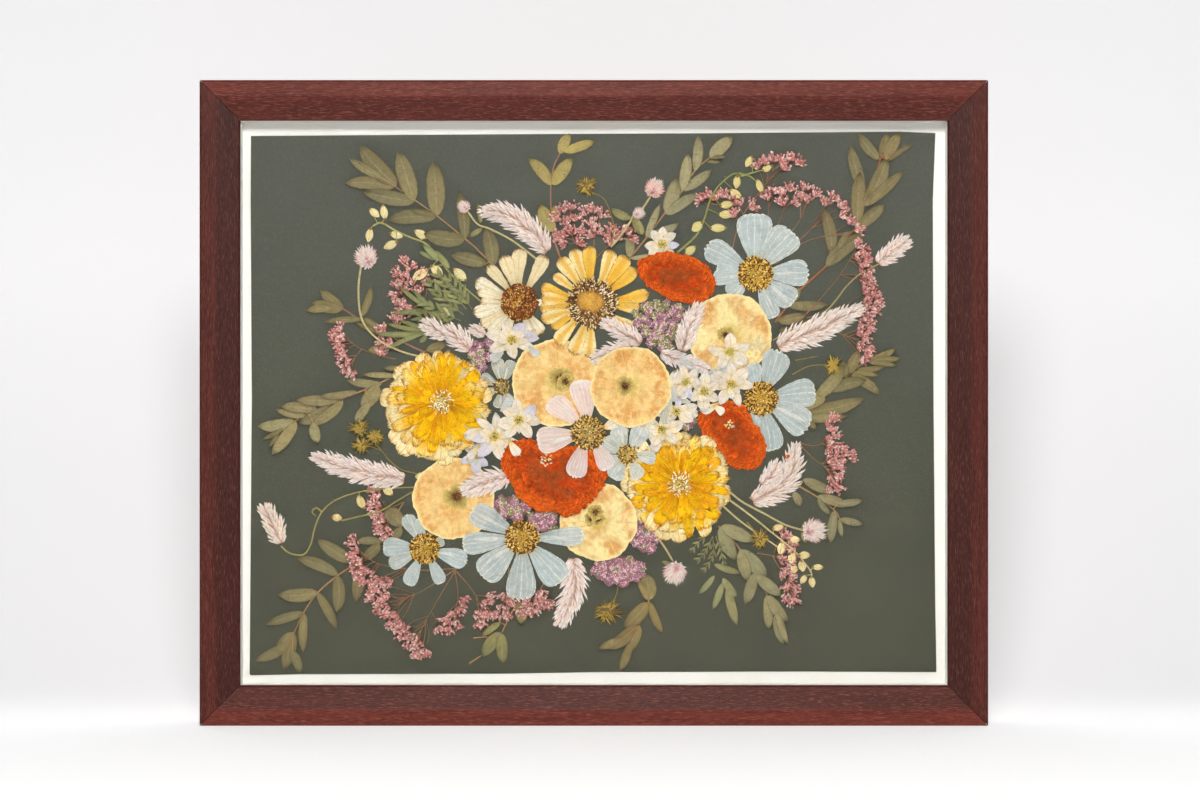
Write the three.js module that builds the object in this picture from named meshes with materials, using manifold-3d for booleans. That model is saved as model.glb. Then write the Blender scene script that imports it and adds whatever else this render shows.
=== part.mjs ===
// A framed arrangement of pressed flowers: four mitred rails, glazing, spacers and boards, and the
// specimens laid flat on a dark green sheet between the board and the glazing.
// Millimetres. +Z is up, the front faces -Y, and the frame stands on Z = 0 with its middle at X = 0.
// Places on the sheet are (across, up) from the middle of the opening. Places through the frame's
// thickness are depths behind its front face.
import * as THREE from 'three';
import { mergeVertices } from 'three/addons/utils/BufferGeometryUtils.js';
import Module from 'manifold-3d';

const wasm = await Module();
wasm.setup();

// Driving dimensions of the frame
const FRAME_WIDTH = 552;
const FRAME_HEIGHT = 452;
const RAIL_DEPTH = 38;
const RAIL_FACE = 28;
const RABBET_WIDTH = 6;
const OUTER_BAND = 11;
const INNER_BAND_FALL = 3.5;
const EDGE_ROUNDING = 1.5;
const LIP_BACK = 8;

// Driving dimensions of what the rabbet holds, front to back
const CLEARANCE = 0.3;
const GLASS_THICKNESS = 2;
const BOARD_FRONT = 22;
const BOARD_THICKNESS = 3;
const SHEET_THICKNESS = 0.5;
const BACKING_THICKNESS = 5;

// Driving dimensions of the fittings on the back
const COVER_MARGIN = 4;
const COVER_THICKNESS = 0.4;
const BUMPER_RADIUS = 5;
const BUMPER_HEIGHT = 2.5;
const BUMPER_INSET = 14;
const HANGER_LENGTH = 64;
const HANGER_HEIGHT = 9;
const HANGER_THICKNESS = 1.2;
const HANGER_TEETH = 8;
const HANGER_BELOW_TOP = 11;
const NAIL_SPACING = 54;
const NAIL_RADIUS = 0.8;
const NAIL_HEAD_RADIUS = 1.8;
const NAIL_HEAD_HEIGHT = 0.8;
const NAIL_LENGTH = 10;
const ROUND_SIDES = 8;

// Thicknesses of the pressed specimens
const SPRIG_THICKNESS = 0.4;
const PETAL_THICKNESS = 0.5;
const BLOOM_THICKNESS = 0.8;
const STEM_WIDTH = 1.6;

// Worked out from the driving dimensions
const COVER_FRONT = RAIL_DEPTH + CLEARANCE;
const FITTINGS_FRONT = COVER_FRONT + COVER_THICKNESS + CLEARANCE;
const TOTAL_DEPTH = FITTINGS_FRONT + BUMPER_HEIGHT;
const FRONT_Y = -TOTAL_DEPTH / 2;
const MIDDLE_Z = FRAME_HEIGHT / 2;
const RABBET_INNER = RAIL_FACE - RABBET_WIDTH + CLEARANCE;
const FILLING_WIDTH = FRAME_WIDTH - 2 * RABBET_INNER;
const FILLING_HEIGHT = FRAME_HEIGHT - 2 * RABBET_INNER;
const GLASS_FRONT = LIP_BACK + CLEARANCE;
const SPACER_FRONT = GLASS_FRONT + GLASS_THICKNESS + CLEARANCE;
const SHEET_FRONT = BOARD_FRONT - CLEARANCE - SHEET_THICKNESS;
const BACKING_FRONT = BOARD_FRONT + BOARD_THICKNESS + CLEARANCE;

const frame = new THREE.Group();

function surface(color, roughness, metalness = 0) {
  return new THREE.MeshStandardMaterial({ color, roughness, metalness });
}

const wood = surface(0x6b3a33, 0.45);
const glass = surface(0xe8efec, 0.05);
const whiteBoard = surface(0xf4efe6, 0.9);
const greenSheet = surface(0x595b4c, 0.95);
const foamBoard = surface(0xe9e7e1, 0.9);
const kraftPaper = surface(0xa9855a, 0.9);
const steel = surface(0xb9bcc0, 0.35, 1);
const rubber = surface(0x2a2a2b, 0.7);
const oliveLeaf = surface(0x8c8355, 0.8);
const creamPetal = surface(0xe6d9b4, 0.8);
const yellowPetal = surface(0xe3a81c, 0.8);
const orangePetal = surface(0xb8470f, 0.85);
const peachPetal = surface(0xe9bd6c, 0.8);
const whitePetal = surface(0xc9d0cd, 0.7);
const palePink = surface(0xe3cfc9, 0.85);
const mauve = surface(0xa97b8d, 0.85);

function addPiece(name, geometry, material) {
  const piece = new THREE.Mesh(geometry, material);
  piece.name = name;
  frame.add(piece);
  return piece;
}

// Solids and outlines

function toSolid(geometry) {
  const bare = geometry.clone();
  bare.deleteAttribute('normal');
  bare.deleteAttribute('uv');
  const merged = mergeVertices(bare, 1e-4);
  const vertProperties = new Float32Array(merged.attributes.position.array);
  const triVerts = new Uint32Array(merged.index.array);
  return new wasm.Manifold(new wasm.Mesh({ numProp: 3, vertProperties, triVerts }));
}

function toGeometry(solid) {
  const mesh = solid.getMesh();
  const geometry = new THREE.BufferGeometry();
  geometry.setAttribute('position', new THREE.BufferAttribute(mesh.vertProperties, 3));
  geometry.setIndex(new THREE.BufferAttribute(mesh.triVerts, 1));
  geometry.computeVertexNormals();
  return geometry;
}

function extrude(points, depth) {
  const shape = new THREE.Shape(points.map(([x, y]) => new THREE.Vector2(x, y)));
  return new THREE.ExtrudeGeometry(shape, { depth, bevelEnabled: false, steps: 1 });
}

function joined(geometries) {
  return geometries.map(toSolid).reduce((whole, solid) => whole.add(solid));
}

function boxAt(width, depth, height, x, y, z) {
  const box = new THREE.BoxGeometry(width, depth, height);
  box.translate(x, y, z);
  return box;
}

function rodAlongY(radius, length, x, y, z) {
  const rod = new THREE.CylinderGeometry(radius, radius, length, ROUND_SIDES);
  rod.translate(0, length / 2, 0);
  rod.translate(x, y, z);
  return rod;
}

// The four rails: one moulding section, cut at 45 degrees to the length of each side

function mouldingSection() {
  const round = EDGE_ROUNDING;
  return [
    [0, RAIL_DEPTH],
    [0, round],
    [0.3 * round, 0.3 * round],
    [round, 0],
    [OUTER_BAND, 0],
    [RAIL_FACE - 1, INNER_BAND_FALL],
    [RAIL_FACE, INNER_BAND_FALL + 1],
    [RAIL_FACE, LIP_BACK],
    [RAIL_FACE - RABBET_WIDTH, LIP_BACK],
    [RAIL_FACE - RABBET_WIDTH, RAIL_DEPTH],
  ];
}

// The section is (inwards from the outer edge, behind the front). The rail runs along X with its
// outer edge at Z = reach from the frame's middle, and its ends follow the mitre.
function railGeometry(length, reach) {
  const geometry = extrude(mouldingSection(), 1);
  const position = geometry.attributes.position;
  const mitreGap = CLEARANCE * Math.SQRT1_2;
  for (let i = 0; i < position.count; i += 1) {
    const inward = position.getX(i);
    const behind = position.getY(i);
    const end = 2 * position.getZ(i) - 1;
    position.setXYZ(i, end * (length / 2 - inward - mitreGap), FRONT_Y + behind, reach - inward);
  }
  geometry.computeVertexNormals();
  return geometry;
}

function addRail(name, geometry, turn) {
  const rail = addPiece(name, geometry, wood);
  rail.rotation.y = turn;
  rail.position.z = MIDDLE_Z;
}

function nailPlaces() {
  return [-NAIL_SPACING / 2, NAIL_SPACING / 2];
}

function nailHole(x, front, depth, z) {
  return toSolid(rodAlongY(NAIL_RADIUS + CLEARANCE, depth, x, FRONT_Y + front, z));
}

function addRails() {
  let top = toSolid(railGeometry(FRAME_WIDTH, MIDDLE_Z));
  const nailZ = MIDDLE_Z - HANGER_BELOW_TOP;
  for (const x of nailPlaces()) {
    top = top.subtract(nailHole(x, RAIL_DEPTH - NAIL_LENGTH, NAIL_LENGTH + 1, nailZ));
  }
  addRail('rail_top', toGeometry(top), 0);
  addRail('rail_bottom', railGeometry(FRAME_WIDTH, MIDDLE_Z), Math.PI);
  addRail('rail_right', railGeometry(FRAME_HEIGHT, FRAME_WIDTH / 2), Math.PI / 2);
  addRail('rail_left', railGeometry(FRAME_HEIGHT, FRAME_WIDTH / 2), -Math.PI / 2);
}

// What lies in the rabbet

function addSlab(name, width, height, front, thickness, material) {
  const slab = addPiece(name, new THREE.BoxGeometry(width, thickness, height), material);
  slab.position.set(0, FRONT_Y + front + thickness / 2, MIDDLE_Z);
}

function addSpacers() {
  const width = RABBET_WIDTH - CLEARANCE;
  const depth = BOARD_FRONT - CLEARANCE - SPACER_FRONT;
  const y = FRONT_Y + SPACER_FRONT + depth / 2;
  const upright = FILLING_HEIGHT - 2 * width - 2 * CLEARANCE;
  for (const [name, side] of [['spacer_top', 1], ['spacer_bottom', -1]]) {
    const strip = addPiece(name, new THREE.BoxGeometry(FILLING_WIDTH, depth, width), whiteBoard);
    strip.position.set(0, y, MIDDLE_Z + side * (FILLING_HEIGHT - width) / 2);
  }
  for (const [name, side] of [['spacer_right', 1], ['spacer_left', -1]]) {
    const strip = addPiece(name, new THREE.BoxGeometry(width, depth, upright), whiteBoard);
    strip.position.set(side * (FILLING_WIDTH - width) / 2, y, MIDDLE_Z);
  }
}

// The green sheet is cut by hand: its edges wander by about a millimetre, and it is a little askew.
const sheetOutline = [
  [-242.2, 188.5], [-242.4, 143], [-241.6, 2], [-242.7, -139], [-243.1, -191.2], [-242.3, -192.3],
  [-207.6, -191.5], [-66, -191.1], [4.3, -190], [145.6, -189.6], [241.8, -190], [241, -139],
  [239.8, 2], [239.3, 143.3], [241.1, 190.5], [216.2, 191.6], [74.9, 190.4], [-66, 189.7],
];

function addSheet() {
  const sheet = addPiece('flower_panel', extrude(sheetOutline, SHEET_THICKNESS), greenSheet);
  sheet.rotation.x = Math.PI / 2;
  sheet.position.set(0, FRONT_Y + SHEET_FRONT + SHEET_THICKNESS, MIDDLE_Z);
}

function addFillings() {
  addSlab('glazing', FILLING_WIDTH, FILLING_HEIGHT, GLASS_FRONT, GLASS_THICKNESS, glass);
  addSpacers();
  addSlab('mount_board', FILLING_WIDTH, FILLING_HEIGHT, BOARD_FRONT, BOARD_THICKNESS, whiteBoard);
  addSheet();
  addSlab('backing_board', FILLING_WIDTH, FILLING_HEIGHT, BACKING_FRONT, BACKING_THICKNESS, foamBoard);
}

// The back: a paper dust cover, a sawtooth hanger on two nails, and two bumpers

function addDustCover() {
  const width = FRAME_WIDTH - 2 * COVER_MARGIN;
  const height = FRAME_HEIGHT - 2 * COVER_MARGIN;
  let cover = toSolid(boxAt(width, COVER_THICKNESS, height, 0, 0, 0));
  for (const x of nailPlaces()) {
    const hole = rodAlongY(NAIL_RADIUS + CLEARANCE, 2, x, -1, MIDDLE_Z - HANGER_BELOW_TOP);
    cover = cover.subtract(toSolid(hole));
  }
  const piece = addPiece('dust_cover', toGeometry(cover), kraftPaper);
  piece.position.set(0, FRONT_Y + COVER_FRONT + COVER_THICKNESS / 2, MIDDLE_Z);
}

function hangerOutline() {
  const points = [[HANGER_LENGTH / 2, 0], [HANGER_LENGTH / 2, HANGER_HEIGHT / 2]];
  points.push([-HANGER_LENGTH / 2, HANGER_HEIGHT / 2], [-HANGER_LENGTH / 2, 0]);
  const toothed = HANGER_LENGTH - 20;
  const pitch = toothed / HANGER_TEETH;
  for (let i = 0; i < HANGER_TEETH; i += 1) {
    const x = -toothed / 2 + i * pitch;
    points.push([x, -HANGER_HEIGHT / 2], [x + pitch / 2, -HANGER_HEIGHT / 2 + 2]);
  }
  points.push([toothed / 2, -HANGER_HEIGHT / 2]);
  return points;
}

function addHanger() {
  const hangerZ = FRAME_HEIGHT - HANGER_BELOW_TOP;
  let strip = toSolid(extrude(hangerOutline(), HANGER_THICKNESS));
  for (const x of nailPlaces()) {
    const hole = rodAlongY(NAIL_RADIUS + CLEARANCE, 4, 0, -2, 0);
    hole.rotateX(Math.PI / 2);
    hole.translate(x, 0, 0);
    strip = strip.subtract(toSolid(hole));
  }
  const hanger = addPiece('sawtooth_hanger', toGeometry(strip), steel);
  hanger.rotation.x = Math.PI / 2;
  hanger.position.set(0, FRONT_Y + FITTINGS_FRONT + HANGER_THICKNESS, hangerZ);
}

// A nail stands on Y: its shank goes into the rail, and its head lies on the hanger.
function nailGeometry() {
  const profile = [
    [0, 0], [NAIL_RADIUS, 1.5], [NAIL_RADIUS, NAIL_LENGTH],
    [NAIL_HEAD_RADIUS, NAIL_LENGTH], [NAIL_HEAD_RADIUS, NAIL_LENGTH + NAIL_HEAD_HEIGHT],
    [0, NAIL_LENGTH + NAIL_HEAD_HEIGHT],
  ];
  return new THREE.LatheGeometry(profile.map(([r, y]) => new THREE.Vector2(r, y)), ROUND_SIDES);
}

function addNails() {
  const headUnderside = FITTINGS_FRONT + HANGER_THICKNESS + CLEARANCE / 2;
  nailPlaces().forEach((x, index) => {
    const nail = addPiece(['hanger_nail_left', 'hanger_nail_right'][index], nailGeometry(), steel);
    nail.position.set(x, FRONT_Y + headUnderside - NAIL_LENGTH, FRAME_HEIGHT - HANGER_BELOW_TOP);
  });
}

function bumperGeometry() {
  const shoulder = BUMPER_HEIGHT * 0.6;
  const profile = [
    [0, 0], [BUMPER_RADIUS, 0], [BUMPER_RADIUS, shoulder],
    [BUMPER_RADIUS * 0.8, BUMPER_HEIGHT], [0, BUMPER_HEIGHT],
  ];
  return new THREE.LatheGeometry(profile.map(([r, y]) => new THREE.Vector2(r, y)), ROUND_SIDES);
}

function addBumpers() {
  for (const [name, side] of [['bumper_left', -1], ['bumper_right', 1]]) {
    const bumper = addPiece(name, bumperGeometry(), rubber);
    const x = side * (FRAME_WIDTH / 2 - BUMPER_INSET);
    bumper.position.set(x, FRONT_Y + FITTINGS_FRONT, BUMPER_INSET);
  }
}

// Outlines of the pressed specimens, each a flat plate on the (across, up) plane

function blade(fromX, fromY, toX, toY, width, spread) {
  const along = new THREE.Vector2(toX - fromX, toY - fromY);
  const across = new THREE.Vector2(-along.y, along.x).normalize().multiplyScalar(width / 2);
  const place = (t, side) => [
    fromX + along.x * t + across.x * side,
    fromY + along.y * t + across.y * side,
  ];
  return spread.map(([t, side]) => place(t, side));
}

// A blade's outline is a list of [part of its length, part of its half width]. A leaf's starts just
// inside its stem, and a petal's at its root.
const leafSpread = [[-0.05, 0], [0.5, -1], [1, 0], [0.5, 1]];
const petalSpread = [[0, 0], [0.82, -1], [1, 0], [0.82, 1]];
const stripSpread = [[0, -1], [1, -1], [1, 1], [0, 1]];

function strip(from, to, width) {
  return blade(from[0], from[1], to[0], to[1], width, stripSpread);
}

function nearestOnSegment(point, from, to) {
  const line = new THREE.Line3(
    new THREE.Vector3(from[0], from[1], 0),
    new THREE.Vector3(to[0], to[1], 0),
  );
  const nearest = new THREE.Vector3();
  line.closestPointToPoint(new THREE.Vector3(point[0], point[1], 0), true, nearest);
  return nearest;
}

// The nearest point of a stem to the foot of a leaf, where its stalk joins
function nearestOnStem(point, stem) {
  const start = new THREE.Vector3(point[0], point[1], 0);
  const choices = stem.slice(1).map((to, i) => nearestOnSegment(point, stem[i], to));
  choices.sort((a, b) => a.distanceTo(start) - b.distanceTo(start));
  return [choices[0].x, choices[0].y];
}

// A sprig: a stem, and leaves [footX, footY, tipX, tipY, width], each joined to the nearest of it
function sprigSolid(stem, leaves) {
  const plates = stem.slice(1).map((to, i) => extrude(strip(stem[i], to, STEM_WIDTH), SPRIG_THICKNESS));
  for (const [footX, footY, tipX, tipY, width] of leaves) {
    const [jointX, jointY] = nearestOnStem([footX, footY], stem);
    plates.push(extrude(blade(jointX, jointY, tipX, tipY, width, leafSpread), SPRIG_THICKNESS));
  }
  return joined(plates);
}

// A ring of points around a middle, at a radius that changes with the angle
function ring(middle, count, radiusAt) {
  return Array.from({ length: count }, (_, i) => {
    const angle = (2 * Math.PI * i) / count;
    const radius = radiusAt(angle);
    return [middle[0] + radius * Math.cos(angle), middle[1] + radius * Math.sin(angle)];
  });
}

// A flower of single petals [angle, length, width] around a round heart
function petalledSolid(middle, heartRadius, petals, thickness) {
  const plates = [extrude(ring(middle, 12, () => heartRadius), thickness)];
  for (const [degrees, length, width] of petals) {
    const turn = THREE.MathUtils.degToRad(degrees);
    const inner = heartRadius * 0.5;
    const from = [middle[0] + inner * Math.cos(turn), middle[1] + inner * Math.sin(turn)];
    const to = [middle[0] + length * Math.cos(turn), middle[1] + length * Math.sin(turn)];
    plates.push(extrude(blade(from[0], from[1], to[0], to[1], width, petalSpread), thickness));
  }
  return joined(plates);
}

// A full round bloom whose edge is scalloped by its petals
function scallopedSolid(middle, radius, lobes, depth, thickness, pointsPerLobe) {
  const edge = (angle) => radius - depth * (0.5 + 0.5 * Math.cos(lobes * angle));
  return toSolid(extrude(ring(middle, lobes * pointsPerLobe, edge), thickness));
}

// A plume or spike: points of its middle line, each with the width there
function spikeSolid(line, widths, thickness) {
  const left = [];
  const right = [];
  line.forEach((point, i) => {
    const before = line[Math.max(i - 1, 0)];
    const after = line[Math.min(i + 1, line.length - 1)];
    const along = new THREE.Vector2(after[0] - before[0], after[1] - before[1]).normalize();
    left.push([point[0] - along.y * widths[i] / 2, point[1] + along.x * widths[i] / 2]);
    right.unshift([point[0] + along.y * widths[i] / 2, point[1] - along.x * widths[i] / 2]);
  });
  return toSolid(extrude(right.concat(left), thickness));
}

function outlineSolid(points, thickness) {
  return toSolid(extrude(points, thickness));
}

// Leaf sprigs, the lowest layer

const sprigs = {
  sprig_top_left: {
    stem: [[-61, 85], [-79, 105], [-90, 115], [-111.5, 132.5], [-140, 152.5]],
    leaves: [
      [-141, 152.5, -176, 155, 10], [-139.5, 154, -165, 181.5, 13], [-150, 159, -173, 172.5, 6.5],
      [-127, 142, -163, 149, 11], [-127, 143, -138, 177.5, 13], [-111, 132, -113.3, 170.5, 13.5],
      [-111.5, 131.5, -145, 129, 11], [-91, 116, -95.3, 149.5, 9],
      [-91.5, 115, -120, 119.5, 12], [-71, 97, -76, 124, 11], [-76, 98, -101, 104.5, 10],
    ],
  },
  sprig_top: {
    stem: [[-23, 100], [-29, 120], [-30.5, 150], [-28.5, 166], [-23.5, 177]],
    leaves: [
      [-24, 176, -17, 190, 8], [-20.5, 177, 1, 184.5, 7.5], [-30, 154, -46, 172.5, 9],
      [-29, 154, -15.5, 173, 10], [-28.5, 121, -38, 140, 11], [-29, 131, -26.5, 140, 5],
    ],
  },
  sprig_top_centre: {
    stem: [[22, 98], [37, 116.5], [50.5, 134.5], [62.5, 150], [71, 163.5], [82, 173.5]],
    leaves: [
      [82, 173, 98, 187.5, 10], [71.5, 164, 73.5, 188.5, 7.5], [62.5, 150, 83, 164.5, 7.5],
      [62, 150, 66.5, 176, 8.5], [51, 134, 58.5, 159, 10.5], [51.5, 133, 73, 147.5, 8],
      [37, 117, 47, 140.5, 5.5], [38, 117, 60, 126.5, 7], [25, 103, 25, 119.5, 7], [26, 102, 45, 105, 4],
    ],
  },
  sprig_top_right: {
    stem: [
      [128, 57], [145, 79], [164, 97], [180, 118], [186, 125], [190, 138], [195, 152], [206, 182],
    ],
    leaves: [
      [137, 69, 165, 69.5, 7.5], [130, 58, 150, 62, 8], [141, 72, 145, 82, 6],
      [168, 105, 162, 137.5, 9], [164, 97, 191, 119.5, 11], [172, 109, 180, 122, 5],
      [190, 150, 180.5, 181.5, 9], [186, 128, 187.5, 163, 10.5], [191, 139, 207, 174, 11],
      [191, 139, 218.5, 164, 8], [201, 172, 186.5, 190, 8], [203, 173, 207, 190, 8],
      [206, 172, 216, 190, 9], [208, 171, 225, 182, 4], [187, 124, 205, 139.5, 9],
    ],
  },
  sprig_left_upper: {
    stem: [[-120, 36], [-150, 50], [-163, 57.5], [-178, 67]],
    leaves: [
      [-177, 66, -193, 79.5, 8], [-178, 66, -199, 71, 8.5], [-186, 67, -203, 65, 6],
      [-163, 59, -190, 57, 5], [-164, 61, -157, 82.5, 5.5], [-150, 51, -163, 60, 5],
      [-146, 41, -160, 36.5, 6], [-118, 37, -104, 42, 7],
    ],
  },
  sprig_left: {
    stem: [[-138, 21], [-155, 12], [-180, 2], [-196, -5], [-212, -13]],
    leaves: [
      [-211, -13, -237.5, -16.5, 9], [-210, -14, -227, -36.5, 9], [-203, -9, -225, -4.5, 5.5],
      [-195, -5, -221, -2.5, 8],
      [-180, 2, -210, 2, 8], [-168, 8, -193, 5, 5.5], [-186, -3, -208, -14.5, 9],
      [-177, 1, -200, -16, 8], [-198, -14, -194.5, -28.5, 8], [-150, 13, -175, 16, 6.5],
      [-140, 19, -163, 20, 4.5], [-152, 12, -164, -4, 11],
      [-158, 0, -168.5, -14.5, 7],
    ],
  },
  sprig_low_left: {
    stem: [[-132, -84], [-149, -97], [-168, -113], [-181, -122], [-195, -134], [-205, -148], [-212, -163]],
    leaves: [
      [-212, -162, -218.5, -188.5, 9.5], [-213, -162, -224, -173, 7], [-215, -170, -238.5, -182, 8],
      [-213, -175, -207, -190.5, 7], [-205, -148, -231.5, -156.5, 7], [-204, -149, -205, -176, 6.5],
      [-195, -134, -223, -135.5, 10], [-195, -134, -181, -160, 7], [-181, -121, -209.5, -109.5, 9],
      [-181, -122, -181, -148, 9.5], [-171, -112, -195, -96.5, 10], [-165, -112, -168, -141, 9],
      [-150, -98, -168, -98, 6], [-151, -100, -163, -110, 8], [-135, -86, -148, -74, 12],
      [-136, -88, -142, -98, 7],
    ],
  },
  sprig_low: {
    stem: [[-50, -134], [-57, -146], [-65, -162]],
    leaves: [
      [-66, -162, -78.5, -179, 9.5], [-65, -163, -64, -184, 8.5], [-66, -155, -79, -164.5, 5],
      [-53, -140, -50.5, -156.5, 9],
    ],
  },
  sprig_low_centre: {
    stem: [[38.5, -130], [38.5, -141], [32, -157]],
    leaves: [
      [40, -138.5, 36.5, -120.5, 12], [38, -139, 31, -125, 5.5], [38, -141, 21, -158.5, 10.5],
      [39.5, -141, 48.5, -162.5, 6], [32, -157, 11, -174, 9.5], [20, -166, 3, -173.5, 6],
      [33, -158, 25, -176, 6], [26, -169, 18.5, -189, 6.5],
    ],
  },
  sprig_low_right: {
    stem: [[88, -87], [99, -98], [104, -105], [113, -119], [122.5, -136], [128, -149]],
    leaves: [
      [89, -88, 100, -111, 10], [90, -87, 113, -97.5, 10], [103, -104, 122, -122.5, 11],
      [103, -105, 109, -126, 9], [114, -120, 107, -142.5, 8.5], [115, -122, 132, -136, 9],
      [122, -136, 123, -160, 7.5], [123, -136, 137, -154, 8.5], [128.5, -149, 134, -170.5, 9],
      [129, -149, 137, -170, 5],
    ],
  },
  sprig_right_low: {
    stem: [[140, -56], [157, -66], [170, -76], [173.5, -82]],
    leaves: [
      [158, -66, 180, -73, 7.5], [172, -71, 190, -68.5, 5.5], [158, -67, 167, -79, 4.5],
      [170, -76, 167, -99, 7], [173, -82, 175, -95, 4], [173.5, -82, 190, -85.5, 5.5],
      [148, -54, 168, -63, 8], [141, -63, 146, -73, 6],
    ],
  },
  sprig_right: {
    stem: [[150, -4], [163, 5], [177, 17], [188, 26.5], [195, 30]],
    leaves: [
      [195, 30, 213, 38.5, 5.5], [195, 29, 217, 31.5, 4.5], [195, 28, 214, 26, 4],
      [186, 23.5, 205, 25.5, 4.5], [181, 21, 201, 19, 4], [182, 20, 202, 6, 7.5],
      [180, 21, 187, 37, 8], [177, 18, 175, 30, 7], [168, 9, 190, 13, 8], [161, 6, 168, 22, 9],
      [163, 3, 191, 2, 9], [163, 3, 140, -6, 9], [150, -8, 178, -10, 6], [149, -8, 157, -19, 5],
    ],
  },
};

// Single flowers: the middle, the heart's radius, and the petals [angle, length, width]

const cosmosFlowers = {
  cosmos_top_right: {
    middle: [114, 91], heart: 13.5,
    petals: [
      [151, 41, 17], [91, 43, 24], [49, 40, 22], [1.5, 38.5, 18], [325, 34, 16], [293, 34, 12],
      [218, 25, 13], [186, 30, 11], [172, 28, 8],
    ],
  },
  cosmos_right: {
    middle: [118, 3], heart: 12.5,
    petals: [[70, 37, 19], [105, 26, 12], [7, 39, 19], [328, 40, 20], [281, 38, 18], [250, 20, 9]],
  },
  cosmos_blush: {
    middle: [-4, -21], heart: 13,
    petals: [[140, 37, 15], [99, 38, 17], [190, 37, 18], [253, 34, 14], [300, 30, 12]],
  },
  cosmos_small: {
    middle: [-65, 11.5], heart: 6,
    petals: [
      [100, 20.5, 9], [68, 20, 8], [154, 16.5, 8], [203, 16.5, 8], [260, 15.5, 8], [303, 19, 8],
    ],
  },
  cosmos_centre: {
    middle: [23.5, -36.5], heart: 7,
    petals: [
      [150, 20, 12], [110, 21, 12], [60, 22, 13], [352, 21, 9], [297, 19, 10], [238, 20, 12],
      [198, 17, 9],
    ],
  },
  cosmos_low_left: {
    middle: [-119.5, -103], heart: 10.5,
    petals: [
      [119.5, 28, 10], [100, 22, 7], [178, 29.5, 13], [205, 28, 10], [245, 28.5, 10],
      [296, 27.5, 9], [343, 32, 13], [25, 15, 7],
    ],
  },
  cosmos_low: {
    middle: [-50.5, -95], heart: 12.3,
    petals: [
      [152, 42, 17], [187, 43, 15], [224, 40, 20], [268, 45, 20], [312, 42, 20], [2, 44, 13],
    ],
  },
};

const zinniaFlowers = {
  zinnia_cream: {
    middle: [-52.5, 71], heart: 13,
    petals: [
      [131, 35.5, 8], [109, 36, 9.5], [89, 38.5, 10.5], [61, 38.5, 9.5], [154, 35, 10], [166, 32, 6],
      [180, 28.5, 7], [193.5, 34.5, 9], [211, 33, 9], [228, 32, 8], [243, 24, 7], [287, 24, 6],
      [296, 28, 6], [308, 28, 7], [0, 18, 5],
    ],
  },
  zinnia_ochre: {
    middle: [-1, 70], heart: 19,
    petals: [
      [109, 41.5, 9.5], [93, 41.5, 9.5], [70, 41.5, 10], [54, 42, 10.5], [39, 39.8, 9],
      [10, 41.6, 9], [357, 34, 9], [330, 33, 7], [318, 27, 6], [265.6, 39, 9], [249, 39.6, 11],
      [228, 39, 10], [209.5, 34.5, 8], [198, 39, 9], [185, 38, 8], [174, 37.5, 9], [162, 39, 9],
      [143, 35, 7], [126, 41, 10],
    ],
  },
};

// Full double blooms: [middle, radius, petals round the edge, scallop depth]
const doubleBlooms = {
  zinnia_yellow_left: [[-110, -3], 39.5, 18, 4],
  zinnia_yellow_right: [[59, -58], 39, 18, 4],
};

// Round papery flowers: [middle, radius]
const poppies = {
  poppy_low_left: [[-99, -67.5], 29],
  poppy_right: [[96, 48], 29.5],
  poppy_left: [[-27, 14], 31],
  poppy_low_right: [[3, -84], 27.5],
  poppy_centre: [[26, 11.5], 28.5],
};

// Crumpled marigold heads, by outline
const marigolds = {
  marigold_top: [
    [30, 99], [40, 105], [50, 107.3], [62, 105], [75, 101], [84, 93], [87, 85], [84, 75], [76, 70.5],
    [63, 71], [52, 73], [45, 78], [37, 83], [30.5, 91],
  ],
  marigold_right: [
    [72, -8], [80, -1], [93, 3], [108, -4], [113, -14], [119, -21], [122, -27], [121, -38],
    [118, -46], [108, -48], [98, -46], [92, -41], [88, -33], [76, -25], [75, -17],
  ],
  marigold_middle: [
    [-61, -27], [-50, -24.5], [-40, -29], [-28, -32], [-12, -30], [0, -33], [8, -42], [11, -52],
    [6, -61], [0, -69], [-9, -77], [-20, -82], [-27, -76], [-41, -77], [-48, -72], [-56, -64],
    [-60, -54], [-67, -46], [-65, -37],
  ],
};

// Flat heads of tiny florets: [middle, half width, half height]
const yarrowHeads = {
  yarrow_top: [[46, 57], 22, 17],
  yarrow_low: [[17.5, -118], 20, 11],
  yarrow_low_right: [[37, -94], 10.5, 13],
};

// Plumes, from the foot to the tip
const plumeLines = {
  plume_top: [[-33, 107], [-42, 119], [-56, 130], [-68, 135], [-79, 134.5]],
  plume_right: [[130, 40], [141, 45], [157, 51], [173, 59], [188, 67]],
  plume_left: [[-134, -54], [-146, -52], [-163, -48.5], [-181, -44], [-198, -37.5]],
  plume_far_left: [[-221, -99], [-223, -93.5], [-226, -86.5], [-230, -79], [-233, -72.5]],
  plume_low: [[-15, -110], [-13.5, -121], [-14.5, -133], [-19, -145], [-24.5, -156.5]],
  plume_low_right: [[112, -69], [123, -64.5], [133, -58], [140, -46], [142, -30]],
  plume_far_right: [[201, 98.5], [205, 102.5], [210, 106.5], [216, 111], [221.5, 115]],
  plume_centre: [[62, 37], [64, 44], [66.5, 52], [70, 60], [74, 69]],
};
const plumeWidths = [6, 1.0, 0.95, 0.7, 1.5];
const plumeWidest = {
  plume_top: 20, plume_right: 20, plume_left: 19, plume_far_left: 15, plume_low: 19,
  plume_low_right: 20, plume_far_right: 14, plume_centre: 15,
};

function plumeSolid(name) {
  const widths = plumeWidths.map((part) => (part > 1 ? part : part * plumeWidest[name]));
  return spikeSolid(plumeLines[name], widths, BLOOM_THICKNESS);
}

// Laying: each specimen goes on the sheet, or just in front of those it crosses

const laid = [];

function crosses(one, other) {
  return one.intersect(other).numTri() > 0;
}

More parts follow.
